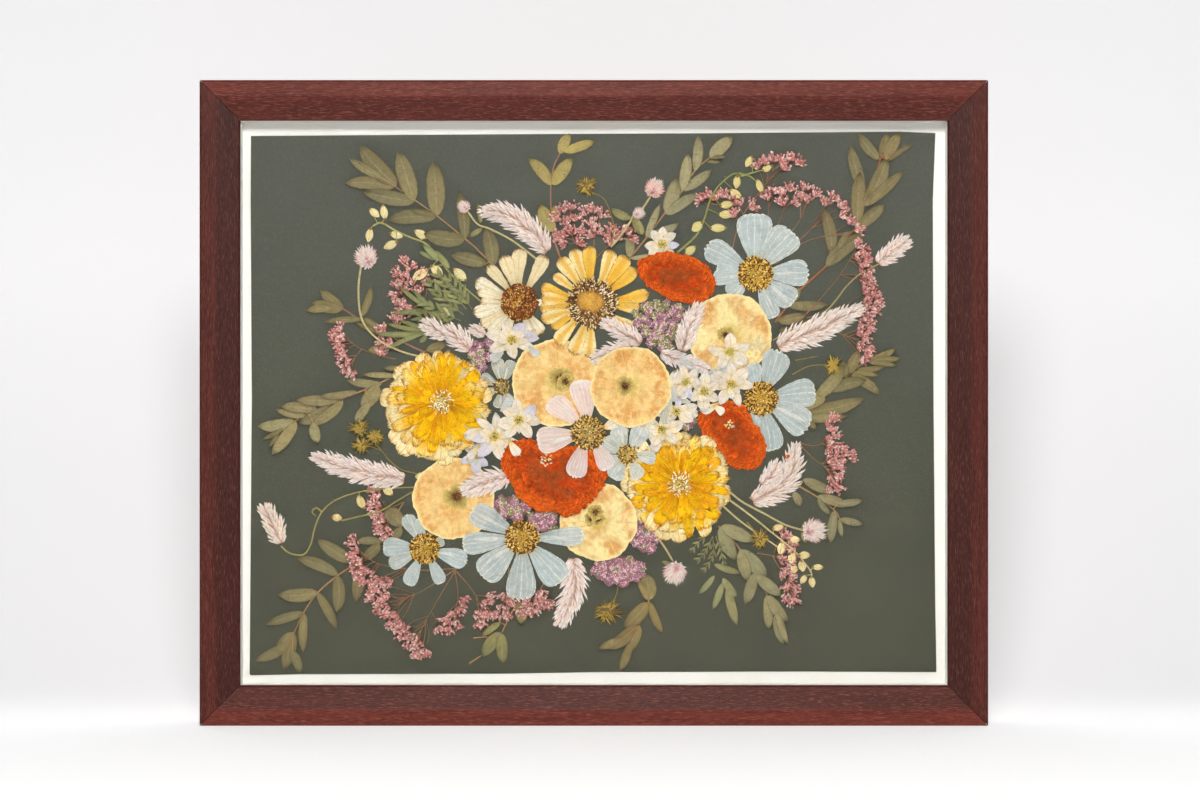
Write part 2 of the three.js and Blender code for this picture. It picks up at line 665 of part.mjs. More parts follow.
function lay(name, solid, thickness, material) {
  const under = laid.filter((earlier) => crosses(solid, earlier.solid));
  const lift = Math.max(0, ...under.map((earlier) => earlier.top)) + CLEARANCE;
  laid.push({ solid, top: lift + thickness });
  const piece = addPiece(name, toGeometry(solid), material);
  piece.rotation.x = Math.PI / 2;
  piece.position.set(0, FRONT_Y + SHEET_FRONT - lift, MIDDLE_Z);
}

function laySprigs() {
  for (const [name, { stem, leaves }] of Object.entries(sprigs)) {
    lay(name, sprigSolid(stem, leaves), SPRIG_THICKNESS, oliveLeaf);
  }
}

function layPlume(name) {
  lay(name, plumeSolid(name), BLOOM_THICKNESS, palePink);
}

function layCosmos(name) {
  const { middle, heart, petals } = cosmosFlowers[name];
  lay(name, petalledSolid(middle, heart, petals, PETAL_THICKNESS), PETAL_THICKNESS, whitePetal);
}

function layZinnia(name, material) {
  const { middle, heart, petals } = zinniaFlowers[name];
  lay(name, petalledSolid(middle, heart, petals, BLOOM_THICKNESS), BLOOM_THICKNESS, material);
}

function layDoubleBloom(name) {
  const [middle, radius, lobes, depth] = doubleBlooms[name];
  const solid = scallopedSolid(middle, radius, lobes, depth, BLOOM_THICKNESS, 2);
  lay(name, solid, BLOOM_THICKNESS, yellowPetal);
}

function layPoppy(name) {
  const [middle, radius] = poppies[name];
  lay(name, scallopedSolid(middle, radius, 5, 1, PETAL_THICKNESS, 4), PETAL_THICKNESS, peachPetal);
}

function layMarigold(name) {
  lay(name, outlineSolid(marigolds[name], BLOOM_THICKNESS), BLOOM_THICKNESS, orangePetal);
}

function layYarrow(name) {
  const [middle, halfWidth, halfHeight] = yarrowHeads[name];
  const oval = ring([0, 0], 18, () => 1).map(([x, y]) => [
    middle[0] + halfWidth * x,
    middle[1] + halfHeight * y,
  ]);
  lay(name, outlineSolid(oval, BLOOM_THICKNESS), BLOOM_THICKNESS, mauve);
}

function laySpecimens() {
  laySprigs();
  ['plume_top', 'plume_right', 'plume_left', 'plume_far_left', 'plume_low'].forEach(layPlume);
  ['plume_low_right', 'plume_far_right'].forEach(layPlume);
  layCosmos('cosmos_top_right');
  layCosmos('cosmos_low_left');
  layPoppy('poppy_low_left');
  layPoppy('poppy_right');
  layCosmos('cosmos_right');
  layMarigold('marigold_right');
  layZinnia('zinnia_cream', creamPetal);
  layCosmos('cosmos_small');
  layPoppy('poppy_left');
  layDoubleBloom('zinnia_yellow_left');
  layZinnia('zinnia_ochre', yellowPetal);
  layYarrow('yarrow_top');
  layMarigold('marigold_top');
  layPlume('plume_centre');
  layYarrow('yarrow_low');
  layYarrow('yarrow_low_right');
  layDoubleBloom('zinnia_yellow_right');
  layPoppy('poppy_low_right');
  layMarigold('marigold_middle');
  layCosmos('cosmos_low');
  layCosmos('cosmos_centre');
  layCosmos('cosmos_blush');
  layPoppy('poppy_centre');
}

addRails();
addFillings();
addDustCover();
addHanger();
addNails();
addBumpers();
laySpecimens();

export default frame;
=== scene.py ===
"""A framed arrangement of pressed flowers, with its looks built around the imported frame.

Places on the green sheet are (across, up) in millimetres from the middle of the opening. Heights are
millimetres in front of the sheet, towards the glazing. Specimens are laid one after another on a map
of how high the pile already is, so that each one lies over those under it.
"""

import math

import bpy
import numpy as np
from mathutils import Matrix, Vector


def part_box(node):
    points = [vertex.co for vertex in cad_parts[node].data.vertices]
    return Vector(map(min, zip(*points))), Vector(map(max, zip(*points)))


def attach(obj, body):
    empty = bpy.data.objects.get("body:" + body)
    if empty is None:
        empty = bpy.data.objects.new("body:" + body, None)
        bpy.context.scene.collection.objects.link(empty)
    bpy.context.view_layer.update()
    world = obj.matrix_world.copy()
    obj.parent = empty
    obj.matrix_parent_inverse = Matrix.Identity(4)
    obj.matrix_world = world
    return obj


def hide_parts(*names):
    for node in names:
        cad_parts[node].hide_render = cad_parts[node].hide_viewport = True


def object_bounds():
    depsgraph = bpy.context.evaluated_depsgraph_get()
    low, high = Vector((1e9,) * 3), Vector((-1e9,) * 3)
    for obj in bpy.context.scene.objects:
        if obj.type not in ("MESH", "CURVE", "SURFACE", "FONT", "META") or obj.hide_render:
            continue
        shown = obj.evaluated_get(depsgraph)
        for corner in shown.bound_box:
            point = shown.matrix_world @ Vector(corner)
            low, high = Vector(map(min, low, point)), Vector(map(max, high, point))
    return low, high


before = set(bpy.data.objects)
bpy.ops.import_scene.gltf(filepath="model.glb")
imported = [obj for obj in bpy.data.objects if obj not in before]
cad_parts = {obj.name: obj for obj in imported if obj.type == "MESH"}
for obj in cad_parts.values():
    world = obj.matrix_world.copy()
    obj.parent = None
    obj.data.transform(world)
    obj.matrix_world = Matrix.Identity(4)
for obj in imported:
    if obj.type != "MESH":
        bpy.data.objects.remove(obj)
cad_low, cad_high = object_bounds()

MM = 0.001
MIDDLE_Z = (cad_low.z + cad_high.z) / 2 / MM
SHEET_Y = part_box("flower_panel")[0].y / MM
GLASS_BACK_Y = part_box("glazing")[1].y / MM
PRESSED_HEIGHT = 0.55 * (SHEET_Y - GLASS_BACK_Y)
TURN = 2 * math.pi
GOLDEN_STEP = 0.381966

# Camera, lights and floor, in metres, watts and shares of full white
CAMERA_PLACE = (0.0043, -2.22075, 0.22805)
LENS = 94.36
FILM_WIDTH = 36.0
SKY_STRENGTH = 0.06
SKY_SEEN = 0.8
KEY_POWER = 21.0
KEY_PLACE = (-0.03, -1.95, 1.04)
KEY_SIZE = 0.4
FLOOR_GLOW = 0.53
WALL_GLOW = 0.36
GLOW_FROM = -0.6
GLOW_HALF_WIDTH = 0.65
FLOOR_HALF_WIDTH = 4.0
FLOOR_FRONT = -4.0
FLOOR_BEND = 0.16
FLOOR_BEND_RADIUS = 0.35
FLOOR_TOP = 3.0
FLOOR_BACK = 4.0
FLOOR_STEP = 0.001


def colour(red, green, blue):
    """A colour in everyday steps of 0 to 255, as the linear values that shaders take."""
    steps = [value / 255 for value in (red, green, blue)]
    linear = [((s + 0.055) / 1.055) ** 2.4 if s > 0.04045 else s / 12.92 for s in steps]
    return tuple(linear) + (1.0,)


# ---------------------------------------------------------------------------------------------
# The pile: how high each half millimetre of the sheet is covered
# ---------------------------------------------------------------------------------------------

CELL = 0.5
PILE_HALF_WIDTH = 256
PILE_HALF_HEIGHT = 208
# Spare cells round a part of the pile, how far parts rest above it, and the deepest hollow in a petal
MARGIN = 4
REST = 0.03
DEEPEST = -0.08
pile = np.zeros((int(2 * PILE_HALF_HEIGHT / CELL), int(2 * PILE_HALF_WIDTH / CELL)))


def spread(field, reach):
    """The field's high places widened by reach cells, then softened by as much."""
    margin = 3 * reach
    wide = np.pad(field, margin, mode="edge")
    shifts = range(-reach, reach + 1)
    for axis in (0, 1):
        wide = np.max([np.roll(wide, shift, axis) for shift in shifts], axis=0)
    for axis in (0, 1, 0, 1):
        wide = np.mean([np.roll(wide, shift, axis) for shift in shifts], axis=0)
    return wide[margin:-margin, margin:-margin]


def read(field, rows, columns):
    """The field between its cells."""
    rows = np.clip(rows, 0, field.shape[0] - 1.001)
    columns = np.clip(columns, 0, field.shape[1] - 1.001)
    r, c = rows.astype(int), columns.astype(int)
    fr, fc = rows - r, columns - c
    low = field[r, c] * (1 - fc) + field[r, c + 1] * fc
    high = field[r + 1, c] * (1 - fc) + field[r + 1, c + 1] * fc
    return low * (1 - fr) + high * fr


def cells(points):
    """The rows and columns of the pile that the points lie on."""
    rows = (points[..., 1] + PILE_HALF_HEIGHT) / CELL
    columns = (points[..., 0] + PILE_HALF_WIDTH) / CELL
    return rows, columns


def ground_under(points, reach=2):
    """How high the softened pile is under the points."""
    rows, columns = cells(points)
    top, left = max(int(rows.min()) - MARGIN, 0), max(int(columns.min()) - MARGIN, 0)
    window = pile[top:int(rows.max()) + MARGIN + 2, left:int(columns.max()) + MARGIN + 2]
    return read(spread(window, reach), rows - top, columns - left)


def finer(grid, steps, axis):
    """A grid with steps - 1 more rows between each two along an axis."""
    count = grid.shape[axis]
    spots = np.linspace(0, count - 1, (count - 1) * steps + 1)
    low = np.minimum(spots.astype(int), count - 2)
    part = spots - low
    part = part.reshape([-1 if i == axis else 1 for i in range(grid.ndim)])
    return np.take(grid, low, axis) * (1 - part) + np.take(grid, low + 1, axis) * part


def mark(points, heights):
    """Raises the pile to a patch that has been laid."""
    grid = np.dstack([points, heights])
    for axis in (0, 1):
        gap = np.abs(np.diff(grid[..., :2], axis=axis)).max()
        grid = finer(grid, max(int(math.ceil(gap / CELL)), 1), axis)
    rows, columns = cells(grid[..., :2])
    np.maximum.at(pile, (np.rint(rows).astype(int), np.rint(columns).astype(int)), grid[..., 2])


def settle(points, relief, press=0.45, gap=0.12, reach=2):
    """Lays a patch on the pile and adds it to the pile. What comes later presses its relief flatter."""
    ground = ground_under(points, reach) + gap
    mark(points, ground + press * np.maximum(relief, 0))
    return ground + relief


def pressed(heights):
    """Heights after pressing: a low pile keeps its own, and no pile gets past the pressed height."""
    return PRESSED_HEIGHT * (1 - np.exp(-heights / PRESSED_HEIGHT))


# ---------------------------------------------------------------------------------------------
# Pieces: patches of points joined into one mesh
# ---------------------------------------------------------------------------------------------

class Piece:
    """One piece of the model. Its points carry how far along and across a part they are, a number
    for the part, and the part's own tint."""

    def __init__(self, name, slot, node=None):
        self.name = name
        self.slot = slot
        self.node = node
        self.dice = np.random.default_rng(sum(ord(c) * (i + 1) for i, c in enumerate(name)))
        self.count = 0
        self.looks = []
        self.places, self.triangles, self.grow, self.tint, self.finish = [], [], [], [], []

    def add(self, look, points, heights, tint, along, across, closed=False, centred=False):
        """Adds patches, with the first axis counting them. Rows may close into rings, and a centred
        patch's first row is one point."""
        number, rows, columns = heights.shape
        shape = heights.shape
        deep = SHEET_Y - pressed(heights)
        places = np.stack([points[..., 0], deep, points[..., 1] + MIDDLE_Z], -1) * MM
        lots = np.broadcast_to(self.dice.random(number)[:, None, None], shape)
        grow = np.stack([np.broadcast_to(along, shape), np.broadcast_to(across, shape), lots], -1)
        tint = np.broadcast_to(tint, shape + (3,))
        index = np.arange(rows * columns).reshape(rows, columns)
        if centred:
            index = np.maximum(index - columns + 1, 0)
        if closed:
            index = np.hstack([index, index[:, :1]])
        a, b, c, d = index[:-1, :-1], index[:-1, 1:], index[1:, 1:], index[1:, :-1]
        faces = np.vstack([np.stack(t, -1).reshape(-1, 3) for t in ((a, b, c), (a, c, d))])
        faces = faces[(faces[:, 0] != faces[:, 1]) & (faces[:, 1] != faces[:, 2])]
        flat = [self.flatten(grid, centred) for grid in (places, grow, tint)]
        if not closed or centred:
            x, z = flat[0][0, faces, 0], flat[0][0, faces, 2]
            x, z = (side[:, 1:] - side[:, :1] for side in (x, z))
            if (x[:, 0] * z[:, 1] - x[:, 1] * z[:, 0]).sum() < 0:
                faces = faces[:, ::-1]
        each = flat[0].shape[1]
        starts = self.count + each * np.arange(number)
        self.triangles.append((faces[None] + starts[:, None, None]).reshape(-1, 3))
        self.places.append(flat[0].reshape(-1, 3))
        self.grow.append(flat[1].reshape(-1, 3))
        self.tint.append(flat[2].reshape(-1, 3))
        if look not in self.looks:
            self.looks.append(look)
        self.finish.append(np.full(len(faces) * number, self.looks.index(look)))
        self.count += each * number

    @staticmethod
    def flatten(grid, centred):
        """Each patch's points in one row, with a centred patch's first row as one point."""
        number, rows, columns = grid.shape[:3]
        if centred:
            return np.concatenate([grid[:, 0, :1], grid[:, 1:].reshape(number, -1, 3)], axis=1)
        return grid.reshape(number, rows * columns, 3)

    def build(self):
        """Joins the patches into one object that rides on the frame."""
        triangles = np.vstack(self.triangles)
        mesh = bpy.data.meshes.new(self.name)
        mesh.vertices.add(self.count)
        mesh.vertices.foreach_set("co", np.vstack(self.places).astype(np.float32).ravel())
        mesh.loops.add(triangles.size)
        mesh.loops.foreach_set("vertex_index", triangles.astype(np.int32).ravel())
        mesh.polygons.add(len(triangles))
        mesh.polygons.foreach_set("loop_start", np.arange(0, triangles.size, 3, dtype=np.int32))
        mesh.polygons.foreach_set("material_index", np.concatenate(self.finish).astype(np.int32))
        mesh.polygons.foreach_set("use_smooth", np.ones(len(triangles), dtype=bool))
        mesh.update(calc_edges=True)
        grow = mesh.attributes.new("grow", "FLOAT_VECTOR", "POINT")
        grow.data.foreach_set("vector", np.vstack(self.grow).astype(np.float32).ravel())
        tint = mesh.attributes.new("tint", "FLOAT_COLOR", "POINT")
        opaque = np.hstack([np.vstack(self.tint), np.ones((self.count, 1))])
        tint.data.foreach_set("color", opaque.astype(np.float32).ravel())
        mesh.validate()
        for look in self.looks:
            mesh.materials.append(look_named(look))
        item = bpy.data.objects.new(self.name, mesh)
        bpy.context.scene.collection.objects.link(item)
        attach(item, "root")
        if self.node:
            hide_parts(self.node)
        return item


# ---------------------------------------------------------------------------------------------
# Shapes of the pressed parts
# ---------------------------------------------------------------------------------------------

# How wide a blade is along its length: places, and parts of its full width
LEAF = ([0, 0.04, 0.12, 0.3, 0.48, 0.68, 0.84, 0.94, 1],
        [0.16, 0.4, 0.7, 0.95, 1, 0.92, 0.64, 0.32, 0.05])
LEAFLET = ([0, 0.15, 0.5, 0.8, 1], [0.25, 0.8, 1, 0.6, 0.05])
COSMOS_PETAL = ([0, 0.15, 0.4, 0.65, 0.8, 0.9, 0.96, 1], [0.24, 0.38, 0.7, 0.95, 1, 0.92, 0.74, 0.5])
SPOON_PETAL = ([0, 0.2, 0.45, 0.65, 0.8, 0.91, 0.97, 1], [0.32, 0.42, 0.68, 0.92, 1, 0.92, 0.68, 0.4])
POINTED_PETAL = ([0, 0.12, 0.35, 0.6, 0.82, 0.95, 1], [0.25, 0.5, 0.92, 1, 0.7, 0.28, 0.05])
RAY_PETAL = ([0, 0.2, 0.6, 0.85, 0.96, 1], [0.5, 0.75, 1, 0.9, 0.5, 0.15])
STRAP = ([0, 0.2, 0.5, 0.8, 0.93, 1], [0.45, 0.7, 0.92, 1, 0.86, 0.6])
RUFFLE = ([0, 0.3, 0.6, 0.85, 1], [0.35, 0.7, 1, 0.95, 0.6])
SCALE = ([0, 0.15, 0.45, 0.75, 1], [0.5, 0.9, 1, 0.6, 0.06])


def along_stops(tint, along):
    """A tint, or a list of (how far along, tint), spread over the points as a tint for each."""
    if not isinstance(tint, list):
        return np.broadcast_to(np.array(tint[:3]), along.shape + (3,))
    spots = [stop[0] for stop in tint]
    return np.stack([np.interp(along, spots, [stop[1][i] for stop in tint]) for i in range(3)], -1)


def varied(tint, dice, amount=0.08):
    """The tint a little lighter or darker, and a little warmer or colder."""
    light = 1 + dice.uniform(-amount, amount)
    warm = dice.uniform(-amount, amount) * 0.4
    change = np.array([light * (1 + warm), light, light * (1 - warm)])
    if isinstance(tint, list):
        return [(spot, tuple(np.array(stop[:3]) * change)) for spot, stop in tint]
    return tuple(np.array(tint[:3]) * change)


def formed(dice, points, t, s, edge=0.3, curl=0.2, wave=0.0, waves=3, rib=0.0, pleat=0.0, pleats=5,
           crumple=0.08, size=6.0):
    """The relief of a blade: lifted edges and tip, a waving edge, a rib, lengthwise pleats, crumpling."""
    phase = dice.uniform(0, TURN, 6)
    across = points[..., 0] * TURN / size
    up = points[..., 1] * TURN / size
    relief = edge * np.abs(s) ** 2.5 * np.minimum(1, 4 * t) + curl * t ** 3
    swing = TURN * waves * t + phase[0] + np.sign(s) * phase[1]
    relief = relief + wave * np.abs(s) ** 1.5 * np.sin(swing)
    relief = relief - rib * np.exp(-((s / 0.14) ** 2))
    relief = relief + pleat * np.cos(math.pi * pleats * s + phase[2]) * np.minimum(1, 3 * t)
    folds = crumple * np.sin(across + phase[3] + np.sin(up * 0.7 + phase[5]))
    return np.maximum(relief + folds * np.sin(up * 1.2 + phase[4]), DEEPEST)


def blade(piece, look, root, tip, width, outline, tint, bend=0.0, spacing=1.2, ends=None, press=0.45,
          gap=0.12, reach=2, **form):
    """A leaf or petal from its root to its tip, laid on the pile."""
    root, tip = np.array(root, float), np.array(tip, float)
    length = math.hypot(*(tip - root))
    rows = int(np.clip(length / spacing, 4, 34))
    columns = 2 * int(np.clip(width / spacing / 2, 1, 14))
    t = np.linspace(0, 1, rows + 1)[:, None]
    s = np.linspace(-1, 1, columns + 1)[None, :]
    forward = (tip - root) / length
    side = np.array([-forward[1], forward[0]])
    half = np.interp(t, *outline) * width / 2
    reached = t * length * (ends(s) if ends else np.ones_like(s))
    sway = bend * length * 4 * t * (1 - t) + s * half
    points = root + reached[..., None] * forward + sway[..., None] * side
    relief = formed(piece.dice, points, t, s, **form)
    heights = settle(points, relief, press, gap, reach)
    along = np.broadcast_to(t, heights.shape)
    piece.add(look, points[None], heights[None], along_stops(tint, along)[None], along, s)


def disc(piece, look, middle, radius, tint, rings=10, sectors=48, relief=None, wobble=None, gap=0.12):
    """A round sheet laid on the pile. Its relief is a function of the part of its radius and the angle."""
    r = np.linspace(0, 1, rings + 1)[:, None]
    angle = np.arange(sectors + 1) * TURN / sectors
    edge = radius * (1 + (wobble(angle) if wobble else 0 * angle))[None, :]
    points = np.stack([middle[0] + r * edge * np.cos(angle), middle[1] + r * edge * np.sin(angle)], -1)
    rise = np.broadcast_to(relief(r, angle[None, :]) if relief else 0 * edge, points.shape[:2])
    heights = settle(points, rise, 0.9, gap)[:, :-1]
    points = points[:, :-1]
    along = np.broadcast_to(r, heights.shape)
    across = np.broadcast_to(angle[None, :-1] / math.pi - 1, heights.shape)
    tints = tint(points, along) if callable(tint) else along_stops(tint, along)
    piece.add(look, points[None], heights[None], tints[None], along, across, True, True)


def beads(piece, look, places, lengths, widths, angles, thickness, tints, rings=2, sectors=6,
          lobes=None, lift=0.0, tips=None):
    """Many small domed parts at once: buds, florets, grains and pods. Tips are the tints of their ends."""
    places = np.atleast_2d(np.array(places, float))
    number = len(places)
    lengths, widths, angles, thickness, lift = (
        np.broadcast_to(np.array(value, float), (number,)).reshape(-1, 1, 1)
        for value in (lengths, widths, angles, thickness, lift)
    )
    r = np.linspace(0, 1, rings + 1)[None, :, None]
    angle = (np.arange(sectors) * TURN / sectors)[None, None, :]
    rim = np.ones(sectors) if lobes is None else np.resize(lobes, sectors)
    x = r * np.cos(angle) * rim * lengths / 2
    y = r * np.sin(angle) * rim * widths / 2
    points = np.stack([
        places[:, 0].reshape(-1, 1, 1) + x * np.cos(angles) - y * np.sin(angles),
        places[:, 1].reshape(-1, 1, 1) + x * np.sin(angles) + y * np.cos(angles),
    ], -1)
    ground = read(pile, *cells(points)).mean(axis=(1, 2), keepdims=True)
    heights = ground + REST + lift + thickness * np.sqrt(1 - r ** 2 * 0.96)
    heights = np.broadcast_to(heights, points.shape[:3])
    rows, columns = cells(points)
    np.maximum.at(pile, (np.rint(rows).astype(int), np.rint(columns).astype(int)), heights)
    along = np.broadcast_to(x / lengths + 0.5, heights.shape)
    tints = np.broadcast_to(np.array(tints)[..., :3], (number, 3))[:, None, None, :]
    if tips is not None:
        ends = np.broadcast_to(np.array(tips)[..., :3], (number, 3))[:, None, None, :]
        tints = tints + (ends - tints) * np.clip(along * 1.25 - 0.15, 0, 1)[..., None]
    piece.add(look, points, heights, tints, along, r * np.sin(angle), True, True)


def swells(dice, size, count=7):
    """A smooth random field over the sheet, from about -1 to 1, with swells about as long as size."""
    ways = dice.uniform(0, TURN, (count, 3))
    spans = size * dice.uniform(0.6, 1.7, count)

    def field(points):
        x, y = points[..., 0], points[..., 1]
        total = 0
        for (way, phase, other), span in zip(ways, spans):
            ahead = x * math.cos(way) - y * math.sin(way)
            aside = x * math.sin(way) + y * math.cos(way)
            warp = 1.3 * np.sin(aside * 4 / span + other)
            total = total + np.sin(ahead * TURN / span + phase + warp)
        return total / math.sqrt(count)
    return field


def smooth_line(line, step):
    """A smooth curve through the points of a line, with a point every step or so."""
    line = np.array(line, float)
    if len(line) == 2:
        count = max(int(math.hypot(*(line[1] - line[0])) / step), 2)
        return line[0] + (line[1] - line[0]) * np.linspace(0, 1, count + 1)[:, None]
    knots = np.vstack([2 * line[0] - line[1], line, 2 * line[-1] - line[-2]])
    path = []
    for p0, p1, p2, p3 in zip(knots, knots[1:], knots[2:], knots[3:]):
        count = max(int(math.hypot(*(p2 - p1)) / step), 2)
        t = (np.arange(count) / count)[:, None]
        path.append(0.5 * (2 * p1 + (p2 - p0) * t + (2 * p0 - 5 * p1 + 4 * p2 - p3) * t ** 2
                           + (3 * p1 - p0 - 3 * p2 + p3) * t ** 3))
    return np.vstack(path + [line[-1:]])


def stem(piece, line, width, tint, taper=0.7, look="stem", lift=0.0, sides=6):
    """A round stem or twig along a line, stiff enough to bridge small hollows."""
    path = smooth_line(line, 1.5)
    forward = np.gradient(path, axis=0)
    forward /= np.hypot(forward[:, 0], forward[:, 1])[:, None] + 1e-9
    side = np.stack([-forward[:, 1], forward[:, 0]], -1)
    radius = width / 2 * np.linspace(1, taper, len(path))
    radius[-1] *= 0.5
    ground = ground_under(path, 1)
    reach = np.array([ground[max(i - 2, 0):i + 3].max() for i in range(len(ground))])
    ground = np.array([reach[max(i - 3, 0):i + 4].mean() for i in range(len(reach))]) + REST + lift
    turn = np.arange(sides) * TURN / sides
    points = path[:, None] + side[:, None] * (radius[:, None] * np.cos(turn))[..., None]
    heights = ground[:, None] + radius[:, None] * (1 + np.sin(turn))
    along = np.broadcast_to(np.linspace(0, 1, len(path))[:, None], heights.shape)
    across = np.broadcast_to(np.cos(turn), heights.shape)
    piece.add(look, points[None], heights[None], along_stops(tint, along)[None], along, across, True)
    strip = path[:, None] + side[:, None] * (radius[:, None] * np.array([-1, 0, 1]))[..., None]
    mark(strip, (ground + 1.6 * radius)[:, None] + np.zeros(3))


def nearest_on(line, point):
    """The nearest point of a line, and which stretch it is on."""
    line, point = np.array(line, float), np.array(point, float)
    best = None
    for i, (start, end) in enumerate(zip(line, line[1:])):
        part = np.clip(np.dot(point - start, end - start) / np.dot(end - start, end - start), 0, 1)
        spot = start + part * (end - start)
        distance = math.hypot(*(point - spot))
        if best is None or distance < best[0]:
            best = (distance, spot, i)
    return best[1], best[2]


def toward(middle, degrees, distance):
    """The place at a distance from the middle, in a direction."""
    angle = math.radians(degrees)
    return middle[0] + distance * math.cos(angle), middle[1] + distance * math.sin(angle)


def scattered(dice, middle, radius_x, radius_y, count, inner=0.0):
    """Places spread evenly over an oval, with a little jitter, or over the ring outside inner."""
    steps = np.arange(count) + 0.5
    part = np.sqrt(inner ** 2 + (1 - inner ** 2) * steps / count)
    angle = steps * TURN * GOLDEN_STEP + dice.uniform(0, TURN)
    part = part + dice.normal(0, 0.35 / math.sqrt(count), count)
    angle = angle + dice.normal(0, 1.2 / math.sqrt(count), count)
    across = middle[0] + radius_x * part * np.cos(angle)
    up = middle[1] + radius_y * part * np.sin(angle)
    return np.stack([across, up], -1)


def outward(spots, middle):
    """The angle at which each spot lies from the middle."""
    return np.arctan2(spots[:, 1] - middle[1], spots[:, 0] - middle[0])


def picked(dice, choices, count):
    """Tints drawn from a list of (tint, share)."""
    shares = np.array([share for _, share in choices], float)
    which = dice.choice(len(choices), count, p=shares / shares.sum())
    tints = np.array([tint[:3] for tint, _ in choices])[which]
    return tints * dice.uniform(0.85, 1.15, (count, 1))


# ---------------------------------------------------------------------------------------------
# Tints of the specimens
# ---------------------------------------------------------------------------------------------

OLIVE = colour(120, 109, 71)
TWIG = colour(178, 134, 88)
PINK_TWIG = colour(164, 116, 98)
PALE_TWIG = colour(158, 116, 84)
DARK_TWIG = colour(104, 66, 54)
STRAW = colour(176, 158, 98)
BROWN = colour(112, 66, 26)
DARK_BROWN = colour(70, 38, 20)
CREAM = colour(236, 224, 190)
WHITE_CREAM = colour(240, 234, 216)
PALE_BLUE = colour(208, 217, 215)


# ---------------------------------------------------------------------------------------------
# Leaf sprigs
# ---------------------------------------------------------------------------------------------

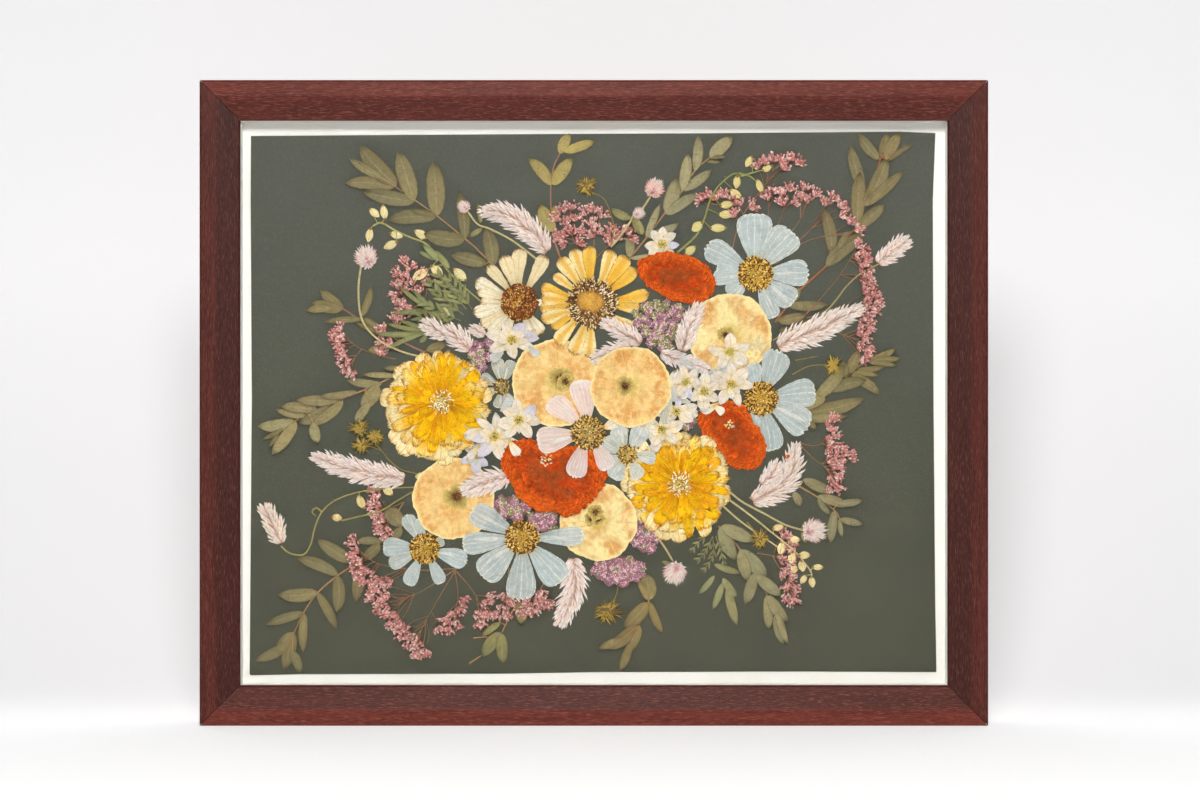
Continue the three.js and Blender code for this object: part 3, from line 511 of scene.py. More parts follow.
# Each sprig's stem, and its leaves: foot across, foot up, tip across, tip up, width
SPRIGS = {
    "sprig_top_left": ([
        (-61, 85), (-79, 105), (-90, 115), (-111.5, 132.5), (-140, 152.5),
    ], [
        (-141, 152.5, -176, 155, 10), (-139.5, 154, -165, 181.5, 13), (-150, 159, -173, 172.5, 6.5),
        (-127, 142, -163, 149, 11), (-127, 143, -138, 177.5, 13), (-111, 132, -113.3, 170.5, 13.5),
        (-111.5, 131.5, -145, 129, 11), (-91, 116, -95.3, 149.5, 9), (-91.5, 115, -120, 119.5, 12),
        (-71, 97, -76, 124, 11), (-76, 98, -101, 104.5, 10),
    ]),
    "sprig_top": ([
        (-23, 100), (-29, 120), (-30.5, 150), (-28.5, 166), (-23.5, 177),
    ], [
        (-24, 176, -17, 190, 8), (-20.5, 177, 1, 184.5, 7.5), (-30, 154, -46, 172.5, 9),
        (-29, 154, -15.5, 173, 10), (-28.5, 121, -38, 140, 11), (-29, 131, -26.5, 140, 5),
    ]),
    "sprig_top_centre": ([
        (22, 98), (37, 116.5), (50.5, 134.5), (62.5, 150), (71, 163.5), (82, 173.5),
    ], [
        (82, 173, 98, 187.5, 10), (71.5, 164, 73.5, 188.5, 7.5), (62.5, 150, 83, 164.5, 7.5),
        (62, 150, 66.5, 176, 8.5), (51, 134, 58.5, 159, 10.5), (51.5, 133, 73, 147.5, 8),
        (37, 117, 47, 140.5, 5.5), (38, 117, 60, 126.5, 7), (25, 103, 25, 119.5, 7),
        (26, 102, 45, 105, 4),
    ]),
    "sprig_top_right": ([
        (128, 57), (145, 79), (164, 97), (180, 118), (186, 125), (190, 138), (195, 152), (206, 182),
    ], [
        (137, 69, 165, 69.5, 7.5), (130, 58, 150, 62, 8), (141, 72, 145, 82, 6),
        (168, 105, 162, 137.5, 9), (164, 97, 191, 119.5, 11), (172, 109, 180, 122, 5),
        (190, 150, 180.5, 181.5, 9), (186, 128, 187.5, 163, 10.5), (191, 139, 207, 174, 11),
        (191, 139, 218.5, 164, 8), (201, 172, 186.5, 190, 8), (203, 173, 207, 190, 8),
        (206, 172, 216, 190, 9), (208, 171, 225, 182, 4), (187, 124, 205, 139.5, 9),
    ]),
    "sprig_left_upper": ([
        (-120, 36), (-150, 50), (-163, 57.5), (-178, 67),
    ], [
        (-177, 66, -193, 79.5, 8), (-178, 66, -199, 71, 8.5), (-186, 67, -203, 65, 6),
        (-163, 59, -190, 57, 5), (-164, 61, -157, 82.5, 5.5), (-150, 51, -163, 60, 5),
        (-146, 41, -160, 36.5, 6), (-118, 37, -104, 42, 7),
    ]),
    "sprig_left": ([
        (-138, 21), (-155, 12), (-180, 2), (-196, -5), (-212, -13),
    ], [
        (-211, -13, -237.5, -16.5, 9), (-210, -14, -227, -36.5, 9), (-203, -9, -225, -4.5, 5.5),
        (-195, -5, -221, -2.5, 8), (-180, 2, -210, 2, 8), (-168, 8, -193, 5, 5.5),
        (-186, -3, -208, -14.5, 9), (-177, 1, -200, -16, 8), (-198, -14, -194.5, -28.5, 8),
        (-150, 13, -175, 16, 6.5), (-140, 19, -163, 20, 4.5), (-152, 12, -164, -4, 11),
        (-158, 0, -168.5, -14.5, 7),
    ]),
    "sprig_low_left": ([
        (-132, -84), (-149, -97), (-168, -113), (-181, -122), (-195, -134), (-205, -148),
        (-212, -163),
    ], [
        (-212, -162, -218.5, -188.5, 9.5), (-213, -162, -224, -173, 7),
        (-215, -170, -238.5, -182, 8), (-213, -175, -207, -190.5, 7),
        (-205, -148, -231.5, -156.5, 7), (-204, -149, -205, -176, 6.5),
        (-195, -134, -223, -135.5, 10), (-195, -134, -181, -160, 7), (-181, -121, -209.5, -109.5, 9),
        (-181, -122, -181, -148, 9.5), (-171, -112, -195, -96.5, 10), (-165, -112, -168, -141, 9),
        (-150, -98, -168, -98, 6), (-151, -100, -163, -110, 8), (-135, -86, -148, -74, 12),
        (-136, -88, -142, -98, 7),
    ]),
    "sprig_low": ([
        (-50, -134), (-57, -146), (-65, -162),
    ], [
        (-66, -162, -78.5, -179, 9.5), (-65, -163, -64, -184, 8.5), (-66, -155, -79, -164.5, 5),
        (-53, -140, -50.5, -156.5, 9),
    ]),
    "sprig_low_centre": ([
        (38.5, -130), (38.5, -141), (32, -157),
    ], [
        (40, -138.5, 36.5, -120.5, 12), (38, -139, 31, -125, 5.5), (38, -141, 21, -158.5, 10.5),
        (39.5, -141, 48.5, -162.5, 6), (32, -157, 11, -174, 9.5), (20, -166, 3, -173.5, 6),
        (33, -158, 25, -176, 6), (26, -169, 18.5, -189, 6.5),
    ]),
    "sprig_low_right": ([
        (88, -87), (99, -98), (104, -105), (113, -119), (122.5, -136), (128, -149),
    ], [
        (89, -88, 100, -111, 10), (90, -87, 113, -97.5, 10), (103, -104, 122, -122.5, 11),
        (103, -105, 109, -126, 9), (114, -120, 107, -142.5, 8.5), (115, -122, 132, -136, 9),
        (122, -136, 123, -160, 7.5), (123, -136, 137, -154, 8.5), (128.5, -149, 134, -170.5, 9),
        (129, -149, 137, -170, 5),
    ]),
    "sprig_right_low": ([
        (140, -56), (157, -66), (170, -76), (173.5, -82),
    ], [
        (158, -66, 180, -73, 7.5), (172, -71, 190, -68.5, 5.5), (158, -67, 167, -79, 4.5),
        (170, -76, 167, -99, 7), (173, -82, 175, -95, 4), (173.5, -82, 190, -85.5, 5.5),
        (148, -54, 168, -63, 8), (141, -63, 146, -73, 6),
    ]),
    "sprig_right": ([
        (150, -4), (163, 5), (177, 17), (188, 26.5), (195, 30),
    ], [
        (195, 30, 213, 38.5, 5.5), (195, 29, 217, 31.5, 4.5), (195, 28, 214, 26, 4),
        (186, 23.5, 205, 25.5, 4.5), (181, 21, 201, 19, 4), (182, 20, 202, 6, 7.5),
        (180, 21, 187, 37, 8), (177, 18, 175, 30, 7), (166, 9, 192, 16, 9), (156, 3, 177, 27, 9.5),
        (146, -7, 191, 3, 10.5), (163, 3, 140, -6, 9), (145, -12, 179, -9.5, 6.5), (149, -8, 157, -19, 5),
    ]),
}

SPRIG_TINTS = {
    "sprig_top": colour(156, 141, 82), "sprig_top_centre": colour(146, 137, 101),
    "sprig_top_right": colour(125, 111, 73), "sprig_low_right": colour(138, 131, 94),
    "sprig_right_low": colour(130, 121, 88), "sprig_low_centre": colour(132, 115, 70),
    "sprig_left_upper": colour(124, 113, 71), "sprig_left": colour(139, 127, 87),
    "sprig_right": colour(130, 117, 74), "sprig_low": colour(136, 127, 76),
}
SPRIG_TWIGS = {
    "sprig_top": PINK_TWIG, "sprig_low_right": PINK_TWIG, "sprig_left_upper": PINK_TWIG,
    "sprig_top_right": colour(176, 104, 60),
}
LEAF_FORM = dict(gap=1.2, press=0.5, edge=0.6, curl=1.4, wave=0.3, waves=2, rib=0.3, crumple=0.2, size=7)


def lay_leaf(piece, leaf, tint):
    """One leaf, paler at its foot and darker at its tip."""
    foot, tip, width = leaf[:2], leaf[2:4], leaf[4]
    bend = piece.dice.uniform(-0.05, 0.05)
    tint = np.array(varied(tint, piece.dice, 0.14))
    dark = piece.dice.uniform(0.7, 0.95)
    shades = [(0, tuple(tint * 1.12)), (0.5, tuple(tint)), (1, tuple(tint * dark))]
    blade(piece, "leaf", foot, tip, width, LEAF, shades, bend, **LEAF_FORM)


def lay_sprig(name):
    """A stem with its leaves, each joined to it by a stalk where it stands off."""
    line, leaves = SPRIGS[name]
    piece = Piece(name, "dry_leaf", name)
    tint = SPRIG_TINTS.get(name, OLIVE)
    twig = SPRIG_TWIGS.get(name, TWIG)
    stem(piece, line, 1.3, twig, 0.7)
    for leaf in leaves:
        joint, _ = nearest_on(line, leaf[:2])
        if math.hypot(joint[0] - leaf[0], joint[1] - leaf[1]) > 1:
            stem(piece, [joint, leaf[:2]], 0.8, twig, 0.8)
        lay_leaf(piece, leaf, tint)
    return piece


# ---------------------------------------------------------------------------------------------
# Statice: sprays of tiny pink buds on thin twigs
# ---------------------------------------------------------------------------------------------

# Each spray has its main twigs, from the root, and the middles of its clusters of buds
STATICE = {
    "statice_top": ([
        [(-5, 95), (-12, 110), (-21, 131)], [(-5, 95), (0, 112), (-1, 132)],
        [(-5, 95), (6, 107), (20, 121)],
    ], [
        (-27, 131), (-22, 137), (-16, 139), (-13, 131), (-20, 128), (-7, 135), (0, 137), (6, 133),
        (-2, 128), (-26, 118), (-20, 120), (-14, 122), (-8, 121), (-2, 119), (1, 123), (8, 119),
        (13, 123), (17, 118), (23, 122), (27, 117), (11, 114), (-22, 113), (-10, 114),
    ]),
    "statice_arc": ([
        [(95, 95), (103, 128), (118, 150), (128, 163)], [(103, 128), (92, 138), (80, 142)],
        [(116, 98), (122, 126), (124, 146)], [(118, 98), (130, 126), (137, 146)],
        [(120, 100), (142, 124), (152, 142)], [(124, 98), (146, 116), (166, 134)],
        [(128, 98), (150, 114), (182, 121)],
    ], [
        (115, 168), (121, 171), (127, 173), (133, 171), (139, 173), (145, 170), (134, 167),
        (74, 142), (79, 147), (85, 146), (91, 148), (97, 146), (102, 142), (98, 134), (112, 139),
        (122, 146), (127, 150), (133, 149), (139, 152), (145, 148), (150, 152), (133, 142),
        (142, 142), (150, 144), (157, 148), (163, 142), (169, 145), (175, 140), (176, 133),
        (182, 128), (187, 123),
    ]),
    "statice_right": ([
        [(140, 54), (150, 63), (162, 76), (172, 88), (180, 100), (186, 110)],
        [(150, 60), (168, 64), (186, 62)], [(148, 54), (170, 50), (188, 44)],
    ], [
        (187, 112), (191, 107), (187, 103), (193, 101), (190, 96), (195, 92), (191, 87), (196, 84),
        (192, 79), (198, 77), (201, 72), (193, 71), (199, 67), (189, 65), (196, 61), (190, 57),
        (195, 53), (188, 50), (192, 46), (189, 41), (194, 37), (191, 31),
    ]),
    "statice_left": (
        [[(-106, 52), (-116, 68), (-126, 80), (-134, 94)], [(-116, 68), (-132, 74), (-140, 80)]], [
        (-134, 101), (-130, 96), (-139, 92), (-133, 89), (-139, 84), (-134, 80), (-141, 75),
        (-135, 71), (-129, 85), (-122, 92), (-118, 85), (-124, 80), (-131, 66), (-137, 64),
    ]),
    "statice_fan": (
        [[(-140, 31), (-150, 33), (-164, 38), (-176, 46)], [(-164, 38), (-172, 28)],
         [(-135, 35), (-146, 44)]], [
        (-180, 53), (-183, 48), (-178, 46), (-181, 41), (-177, 38), (-179, 33), (-174, 30),
        (-175, 24), (-171, 21), (-150, 52), (-150, 45), (-145, 42), (-150, 36), (-138, 58),
        (-141, 61),
    ]),
    "statice_low_left": (
        [[(-134, -70), (-144, -74), (-152, -74)], [(-134, -70), (-142, -82), (-148, -88)]], [
        (-157, -61), (-154, -66), (-157, -71), (-152, -74), (-155, -79), (-150, -82), (-152, -87),
        (-146, -90), (-149, -93),
    ]),
    "statice_low_arc": ([
        [(-97, -117), (-125, -118), (-150, -114), (-166, -106)],
        [(-97, -117), (-120, -132), (-142, -142)], [(-97, -117), (-112, -142), (-127, -170)],
        [(-98, -119), (-96, -135), (-98, -150)], [(-97, -119), (-86, -132), (-78, -146)],
    ], [
        (-171, -98), (-168, -104), (-171, -109), (-166, -112), (-169, -118), (-163, -117),
        (-165, -124), (-158, -120), (-160, -127), (-154, -125), (-155, -132), (-150, -128),
        (-145, -126), (-158, -138), (-151, -137), (-147, -136), (-153, -144), (-147, -144),
        (-146, -150), (-141, -150), (-143, -157), (-137, -156), (-138, -163), (-132, -160),
        (-133, -167), (-127, -166), (-129, -173), (-124, -171), (-124, -178), (-119, -176),
        (-92, -140), (-95, -147), (-100, -150), (-105, -154), (-97, -156), (-102, -160),
        (-110, -160), (-73, -137), (-77, -142), (-81, -149), (-75, -149), (-80, -156),
    ]),
    "statice_low": (
        [[(-60, -116), (-61, -130), (-64, -142)], [(-32, -120), (-38, -132), (-45, -142)]], [
        (-58, -133), (-63, -137), (-58, -141), (-65, -145), (-62, -150), (-69, -150), (-51, -147),
        (-46, -143), (-40, -141), (-36, -140), (-32, -142), (-38, -135), (-48, -138), (-42, -147),
    ]),
    "statice_right_low": (
        [[(144, -28), (156, -30), (169, -26)], [(144, -28), (156, -40), (170, -50)]], [
        (170, -11), (167, -17), (171, -22), (166, -26), (172, -31), (166, -32), (177, -34),
        (182, -38), (172, -39), (167, -41), (175, -44), (170, -47), (173, -52), (168, -53),
        (168, -59), (172, -61),
    ]),
    "statice_low_right": (
        [[(115, -106), (126, -108), (137, -112)], [(126, -108), (134, -122), (140, -134)]], [
        (135, -93), (140, -98), (134, -102), (140, -106), (133, -110), (139, -114), (134, -119),
        (140, -124), (136, -129), (142, -132), (136, -137), (141, -140),
    ]),
}


BUD_LOBES = [0.95, 0.95, 0.9, 0.85, 0.7, 0.85, 0.9, 0.95]


def lay_statice(name):
    """Thin twigs that fork from the main ones to each cluster, and a handful of buds round its end."""
    mains, clusters = STATICE[name]
    piece = Piece(name, "rose_bud")
    dice = piece.dice
    for main in mains:
        stem(piece, main, 0.75, PALE_TWIG, 0.5)
    for cluster in clusters:
        joints = [nearest_on(main, cluster) for main in mains]
        spans = [math.hypot(*(joint - np.array(cluster))) for joint, _ in joints]
        chosen = int(np.argmin(spans))
        joint, stretch = joints[chosen]
        back = joint + (np.array(mains[chosen][stretch]) - joint) * min(0.7, spans[chosen] / 25 + 0.2)
        out = np.array(cluster) - back
        heading = math.atan2(out[1], out[0])
        base = np.array(toward(cluster, math.degrees(heading), -4.2))
        middle = back + out * 0.5 + np.array([-out[1], out[0]]) * dice.uniform(-0.12, 0.12)
        stem(piece, [back, middle, base], 0.55, varied(PALE_TWIG, dice, 0.15), 0.7, sides=4)
        for count, low, high, lift in ((17, 3.6, 8.0, 0.0), (14, 1.6, 6.0, 0.8)):
            fan = heading + dice.uniform(-0.8, 0.8, count)
            reach = dice.uniform(low, high, (count, 1))
            spots = base + reach * np.stack([np.cos(fan), np.sin(fan)], -1)
            for spot in spots[::4]:
                stem(piece, [base, spot], 0.35, DARK_TWIG, 0.8, sides=3)
            # The buds' dark roots are painted shade, where they sink between their neighbours; their pale
            # tips are partly their own colour and partly painted highlight.
            painted_shade_roots = picked(dice, [(colour(96, 52, 48), 2), (colour(150, 90, 84), 3)], count)
            tips = picked(dice, [(colour(236, 172, 162), 3), (colour(212, 130, 124), 3),
                                 (colour(250, 224, 212), 2)], count)
            beads(piece, "bud", spots, dice.uniform(2.8, 3.9, count), dice.uniform(1.2, 1.8, count),
                  fan + dice.uniform(-0.2, 0.2, count), dice.uniform(1.2, 1.8, count), painted_shade_roots, 2, 8,
                  BUD_LOBES, lift + dice.uniform(0, 0.4, count), tips)
    return piece


# ---------------------------------------------------------------------------------------------
# Stems with seed pods, globe amaranths, fine foliage and wispy seed heads
# ---------------------------------------------------------------------------------------------

# Each stem's lines, and its pods: middle across, middle up, length, width, angle
POD_STEMS = {
    "pods_top_left": (
        [[(-156, 125), (-150, 127), (-140, 121.5), (-130, 117), (-118, 112), (-110, 102), (-100, 90),
          (-85, 76), (-72, 66), (-60, 58), (-45, 48)]], [
        (-155, 134.2, 8.5, 5.5, 140), (-148.2, 134.5, 10, 5.5, 100), (-158.5, 118.5, 9.5, 5.5, 80),
        (-139.5, 118.5, 9, 5.5, 165), (-143.5, 111.5, 10, 6, 25), (-122, 119, 10, 6, 150),
        (-122.5, 90.5, 11.5, 7, 30), (-111, 93.5, 10.5, 6.5, 140), (-94.5, 90.5, 11.5, 7, 135),
        (-106, 63.5, 12, 8, 10),
    ]),
    "pods_top_right": ([
        [(59, 106), (72, 118), (78, 130), (82, 143), (88, 153), (97, 161), (102, 162)],
        [(102, 162), (110, 160), (114, 157)], [(104, 160), (118, 164)],
    ], [
        (73, 124.5, 9, 7, 40), (68, 107.5, 9, 6, 40), (87.5, 123.5, 11, 6, 0), (93, 133, 10, 6, 0),
        (93.5, 140, 10, 5.5, 10), (100, 147.5, 9.5, 5.5, 145), (101, 156, 9, 5.5, 85),
        (109.5, 170.5, 8.5, 5, 60), (122, 165.5, 7.5, 5, 30), (117, 153, 9.5, 5, 110),
    ]),
    "pods_low_right": (
        [[(95, -68), (110, -79), (125, -91), (135, -99), (144, -107), (148, -112), (152, -117),
          (154, -121)], [(88, -70), (104, -84), (120, -95), (133, -104)]], [
        (130, -88, 8, 5, 10), (141, -96.5, 8.5, 5.5, 0), (132, -102.5, 9, 5.5, 80),
        (139.5, -109, 9, 5.5, 80), (148.5, -107.5, 8, 5.5, 0), (147, -115, 8, 6, 100),
        (141, -117.5, 6.5, 5.5, 20), (158, -116, 7.5, 4.5, 0), (148, -124.5, 7, 4.5, 55),
        (154, -126.5, 7.5, 5, 100),
    ]),
    "pods_left": ([
        [(-221, -101), (-215, -106), (-205, -107), (-200, -100), (-197, -88), (-192, -77),
         (-183, -69), (-170, -64), (-157, -61.5), (-140, -60), (-125, -59.5)],
        [(-178, -83), (-165, -80), (-150, -76), (-137, -68), (-120, -58), (-105, -47), (-92, -40)],
        [(-192, -77), (-196, -74), (-199, -77), (-196, -80)],
    ], [
        (-181.5, -81, 7, 5.5, 170), (-164.5, -70, 9.5, 6, 115), (-145.5, -62, 8.5, 6, 140),
        (-122, -52, 8, 6, 0), (-115, -57, 7, 5, 60), (-118, -51, 5, 4, 20),
    ]),
}
# The stem's width and tint, and the pods' tint
POD_TINTS = {
    "pods_top_left": (1.4, colour(178, 170, 108), colour(234, 218, 162)),
    "pods_top_right": (1.6, colour(152, 154, 88), colour(220, 206, 140)),
    "pods_low_right": (1.5, colour(204, 186, 136), colour(234, 216, 160)),
    "pods_left": (1.3, colour(164, 154, 94), colour(230, 210, 150)),
}
POD_LOBES = [1.2, 1.02, 0.92, 0.97, 1.03, 0.97, 0.9, 0.97, 1.1, 0.97, 0.92, 0.98, 1.03, 0.96, 0.94, 1.02]


def lay_pods(name):
    """Stems with a ribbed husk at the end of each short stalk."""
    lines, pods = POD_STEMS[name]
    piece = Piece(name, "seed_pod")
    dice = piece.dice
    width, stalk, husk = POD_TINTS[name]
    for line in lines:
        stem(piece, line, width, varied(stalk, dice), 0.7)
    for across, up, length, width, degrees in pods:
        middle = (across, up)
        joints = [nearest_on(line, middle)[0] for line in lines]
        joint = min(joints, key=lambda spot: math.hypot(spot[0] - across, spot[1] - up))
        near = toward(middle, degrees + (180 if across > joint[0] else 0), length * 0.45)
        stem(piece, [joint, near], 0.7, stalk, 0.8)
        beads(piece, "pod", [middle], length, width, math.radians(degrees), 1.9,
              varied(husk, dice, 0.08), 6, 16, POD_LOBES)
        beads(piece, "stem", [near], 2.4, 2.0, math.radians(degrees), 1.0, colour(146, 112, 62), 2, 7)
    return piece


# Each stem's line, and its head: middle, radius, and the direction in which it faces
AMARANTH_STEMS = {
    "amaranth_left": ([(-164, 99), (-166, 85), (-166, 72), (-164, 60), (-158, 50), (-148, 42),
                       (-135, 36), (-120, 32)], (-161, 103.5), 9, 110),
    "amaranth_top": ([(34, 137), (37, 141), (40, 146)], (43, 152), 7.6, 60),
    "amaranth_top_small": ([(12, 110), (15, 113), (24, 125), (28, 133)], (32, 134), 4.8, 30),
    "amaranth_bud": ([(-40, 101), (-50, 109), (-60, 116), (-74, 123), (-82, 126), (-89, 135)],
                     (-92, 138.5), 5, 140),
    "amaranth_right": ([(96, -63), (105, -70), (120, -78), (135, -86), (148, -90)], (156, -90.5), 9.5, 0),
    "amaranth_low": ([(45, -95), (50, -102), (56, -112)], (57, -120.5), 9, 250),
}
AMARANTH_LEAVES = {
    "amaranth_top_small": [(26, 130, 12, 137, 6.5), (28, 131, 35, 118, 7)],
    "amaranth_bud": [(-80, 127, -82, 141, 4), (-79, 123, -88, 117, 4)],
    "amaranth_low": [(48, -112, 55, -114, 3)],
    "amaranth_right": [(147, -90, 151, -83, 4), (147, -91, 150, -99, 4)],
}


def lay_amaranth(name):
    """A round head of narrow papery bracts that point outwards, at the end of a stem."""
    line, middle, radius, heading = AMARANTH_STEMS[name]
    piece = Piece(name, "pale_bloom")
    dice = piece.dice
    stem(piece, line, 1.5, colour(196, 182, 134), 0.9)
    for leaf in AMARANTH_LEAVES.get(name, []):
        lay_leaf(piece, leaf, colour(140, 132, 84))
    rosy = name == "amaranth_top"
    rose = colour(206, 128, 122) if rosy else colour(206, 146, 148)
    pale = colour(238, 196, 186) if rosy else colour(236, 214, 206)
    foot = np.array(toward(middle, heading, -0.55 * radius))
    deep = tuple(np.array(rose) * 0.62)
    for reach, count in ((1.0, 34), (0.86, 28), (0.7, 22), (0.52, 16), (0.34, 9)):
        for i in range(count):
            degrees = 360 * (i + dice.uniform(-0.35, 0.35)) / count + 40 * reach
            tip = np.array(toward(middle, degrees, radius * reach * dice.uniform(0.88, 1.07)))
            root = foot + (tip - foot) * (0.3 if reach > 0.8 else 0.1)
            edge = abs(math.sin(math.radians(degrees - heading))) * reach
            tint = [(0, deep), (0.35, rose), (0.65, pale), (1, rose if edge > 0.7 else WHITE_CREAM)]
            blade(piece, "bract", root, tip, radius * 0.19, SCALE, varied(tint, dice, 0.1), gap=0.1,
                  press=0.3, spacing=radius / 8, edge=-0.2, curl=1.0, crumple=0.05, reach=1)
    return piece


# Leaves: foot across, foot up, tip across, tip up, width. Feathers: the lines of their ribs.
FOLIAGE_LEFT = [
    (-113, 65, -138, 83, 3.5), (-114, 66, -128, 80, 3.5), (-116, 67, -143, 63, 3.5),
    (-112, 65, -132, 62, 3.5), (-118, 50, -138, 58, 3.5), (-120, 50, -147, 56, 3.5),
    (-118, 49, -155, 49, 4.5), (-120, 49, -148, 37, 3.5), (-118, 48, -123, 42, 3.5),
    (-111, 101, -124, 107, 3.5), (-102, 95, -113, 108, 5), (-110, 100, -121, 112, 5),
]
FEATHERS_LEFT = [
    [(-92, 62), (-104, 72), (-118, 86)], [(-90, 66), (-100, 78), (-112, 92)],
    [(-94, 58), (-108, 64), (-122, 72)], [(-86, 66), (-94, 78), (-104, 90)],
    [(-98, 56), (-112, 58), (-126, 62)],
]
FEATHERS_LOW = [
    [(84, -94), (78, -106), (72, -112)], [(84, -94), (84, -108), (76, -120)],
    [(86, -94), (90, -106), (92, -116)], [(82, -92), (74, -98), (68, -106)],
]
LEAVES_LOW = [(91, -127, 84, -146, 5.5), (91, -124, 101, -137, 6), (94, -130, 101, -157, 7),
              (85, -114, 104, -120, 5), (85, -122, 74, -135, 4.5)]
LOOSE_LEAVES = [
    (83, 173, 93, 173.5, 3), (80, 170, 90, 169.5, 2.5), (-154, 50, -168, 56.5, 4),
    (-219, -18, -234, -26, 3.5), (-222, -22, -229, -31.5, 3), (-112, 133, -130, 137, 4),
    (-136, 24, -148, 24.5, 4), (141, 51, 130, 51, 5),
]


def lay_feather(piece, line, tint, reach, width):
    """A fern-like frond: a fine rib with narrow leaflets on both sides."""
    path = smooth_line(line, 4.2)
    stem(piece, line, 0.7, tint, 0.5)
    for i in range(1, len(path) - 1):
        ahead = path[i + 1] - path[i]
        heading = math.degrees(math.atan2(ahead[1], ahead[0]))
        length = reach * (1 - 0.45 * i / len(path)) * piece.dice.uniform(0.8, 1.15)
        for side in (-1, 1):
            tip = toward(path[i], heading + side * piece.dice.uniform(22, 40), length)
            blade(piece, "leaf", path[i], tip, width, LEAFLET, varied(tint, piece.dice, 0.24),
                  piece.dice.uniform(-0.06, 0.06), gap=0.5, edge=0.1, curl=1.0, crumple=0.05)


# Feathers, leaves, tint, and the leaflets' reach and width
FOLIAGE = {
    "foliage_left": (FEATHERS_LEFT, FOLIAGE_LEFT, colour(132, 134, 84), 12, 2.7),
    "foliage_low": (FEATHERS_LOW, LEAVES_LOW, colour(134, 130, 88), 7, 1.5),
}


def lay_foliage(name):
    """A spray of plain leaves under feathery ones."""
    feathers, leaves, tint, reach, width = FOLIAGE[name]
    piece = Piece(name, "dry_leaf")
    for leaf in leaves:
        lay_leaf(piece, leaf, tint)
    for line in feathers:
        lay_feather(piece, line, varied(tint, piece.dice, 0.12), reach, width)
    return piece


# Heads (middle across, middle up, half width, half height), and the lines of their stems
WISPS = {
    "wisp_top": ([(-5, 153, 6, 6)], [[(12, 111), (14, 122), (12, 133), (7, 144), (-2, 149)]]),
    "wisp_left": ([(-165, -18, 7, 5), (-164, -30, 6, 4.5), (-154, -24, 5, 5)],
                  [[(-125, -50), (-136, -47), (-145, -40), (-150, -34), (-160, -30)],
                   [(-150, -34), (-157, -24), (-163, -20)]]),
    "wisp_low": ([(10, -147, 9, 7)], [[(17, -129), (16, -135), (13, -141)]]),
    "wisp_low_right": ([(117, -96, 5, 7)], [[(108, -84), (113, -90), (116, -94)]]),
    "wisp_right": ([(168.5, 26.5, 4.5, 6)], [[(140, 20), (152, 26), (165, 27)], [(142, 30), (158, 33)]]),
}


def lay_wisp(name):
    """A dry seed head: a dense tuft of short bristles."""
    heads, lines = WISPS[name]
    piece = Piece(name, "seed_pod")
    dice = piece.dice
    for line in lines:
        stem(piece, line, 0.9, colour(150, 132, 66), 0.7)
    for across, up, radius_x, radius_y in heads:
        grains = scattered(dice, (across, up), radius_x * 0.65, radius_y * 0.65, 60)
        beads(piece, "grain", grains, 2.0, 1.1, dice.uniform(0, TURN, 60), 1.2,
              picked(dice, [(colour(126, 92, 28), 3), (BROWN, 1), (colour(186, 146, 40), 3)], 60))
        for _ in range(100):
            start = (across + dice.normal(0, 0.22) * radius_x, up + dice.normal(0, 0.22) * radius_y)
            degrees = dice.uniform(0, 360)
            angle = math.radians(degrees)
            rim = math.hypot(radius_x * math.cos(angle), radius_y * math.sin(angle))
            reach = dice.uniform(0.5, 1.5) * rim
            tip = toward((across, up), degrees, reach)
            shade = colour(184, 152, 52) if dice.random() < 0.65 else colour(112, 88, 32)
            blade(piece, "leaf", start, tip, dice.uniform(0.6, 1.1), LEAFLET, varied(shade, dice, 0.2),
                  spacing=1.4, edge=0.1, curl=0.9, crumple=0.1)
    return piece


# ---------------------------------------------------------------------------------------------
# Plumes: spikes of narrow papery scales
# ---------------------------------------------------------------------------------------------

# The line of each plume from foot to tip, and its greatest width
PLUMES = {
    "plume_top": ([(-33, 107), (-42, 119), (-56, 130), (-68, 135), (-79, 134.5)], 20),
    "plume_right": ([(130, 40), (141, 45), (157, 51), (173, 59), (188, 67)], 20),
    "plume_left": ([(-134, -54), (-146, -52), (-163, -48.5), (-181, -44), (-198, -37.5)], 19),
    "plume_far_left": ([(-221, -99), (-223, -93.5), (-226, -86.5), (-230, -79), (-233, -72.5)], 15),
    "plume_low": ([(-15, -110), (-13.5, -121), (-14.5, -133), (-19, -145), (-24.5, -156.5)], 19),
    "plume_low_right": ([(112, -69), (123, -64.5), (133, -58), (140, -46), (142, -30)], 20),
    "plume_far_right": ([(201, 98.5), (205, 102.5), (210, 106.5), (216, 111), (221.5, 115)], 14),
    "plume_centre": ([(62, 37), (64, 44), (66.5, 52), (70, 60), (74, 69)], 15),
    "plume_small_right": ([(118, -57), (124, -52), (130, -43)], 12),
    "plume_small_left_top": ([(-104, 47), (-112, 52), (-120, 56)], 12),
    "plume_small_left": ([(-87, 38), (-95, 45), (-103, 52)], 16),
    "plume_small_left_low": ([(-77, 48), (-82, 51), (-87, 53)], 8),
    "plume_small_centre": ([(33, 42), (20, 50), (7, 57)], 13),
    "plume_small_centre_low": ([(26, 40), (13, 36), (0, 31)], 12),
    "plume_small_middle": ([(47, 35), (62, 30), (80, 24)], 10),
    "plume_small_low": ([(-60, -52), (-76, -56), (-92, -62)], 18),
}
PLUME_TINTS = {
    "plume_right": colour(242, 228, 216), "plume_low_right": colour(240, 226, 214),
    "plume_far_left": colour(236, 220, 198), "plume_small_middle": colour(238, 224, 222),
    "plume_small_low": colour(244, 228, 222),
}
PLUME_WIDTH = ([0, 0.12, 0.35, 0.6, 0.8, 0.93, 1], [0.45, 0.85, 1, 0.95, 0.72, 0.42, 0.15])
BRACT_FORM = dict(spacing=1.5, press=0.22, gap=0.06, edge=-0.25, curl=1.5, crumple=0.05, reach=1)


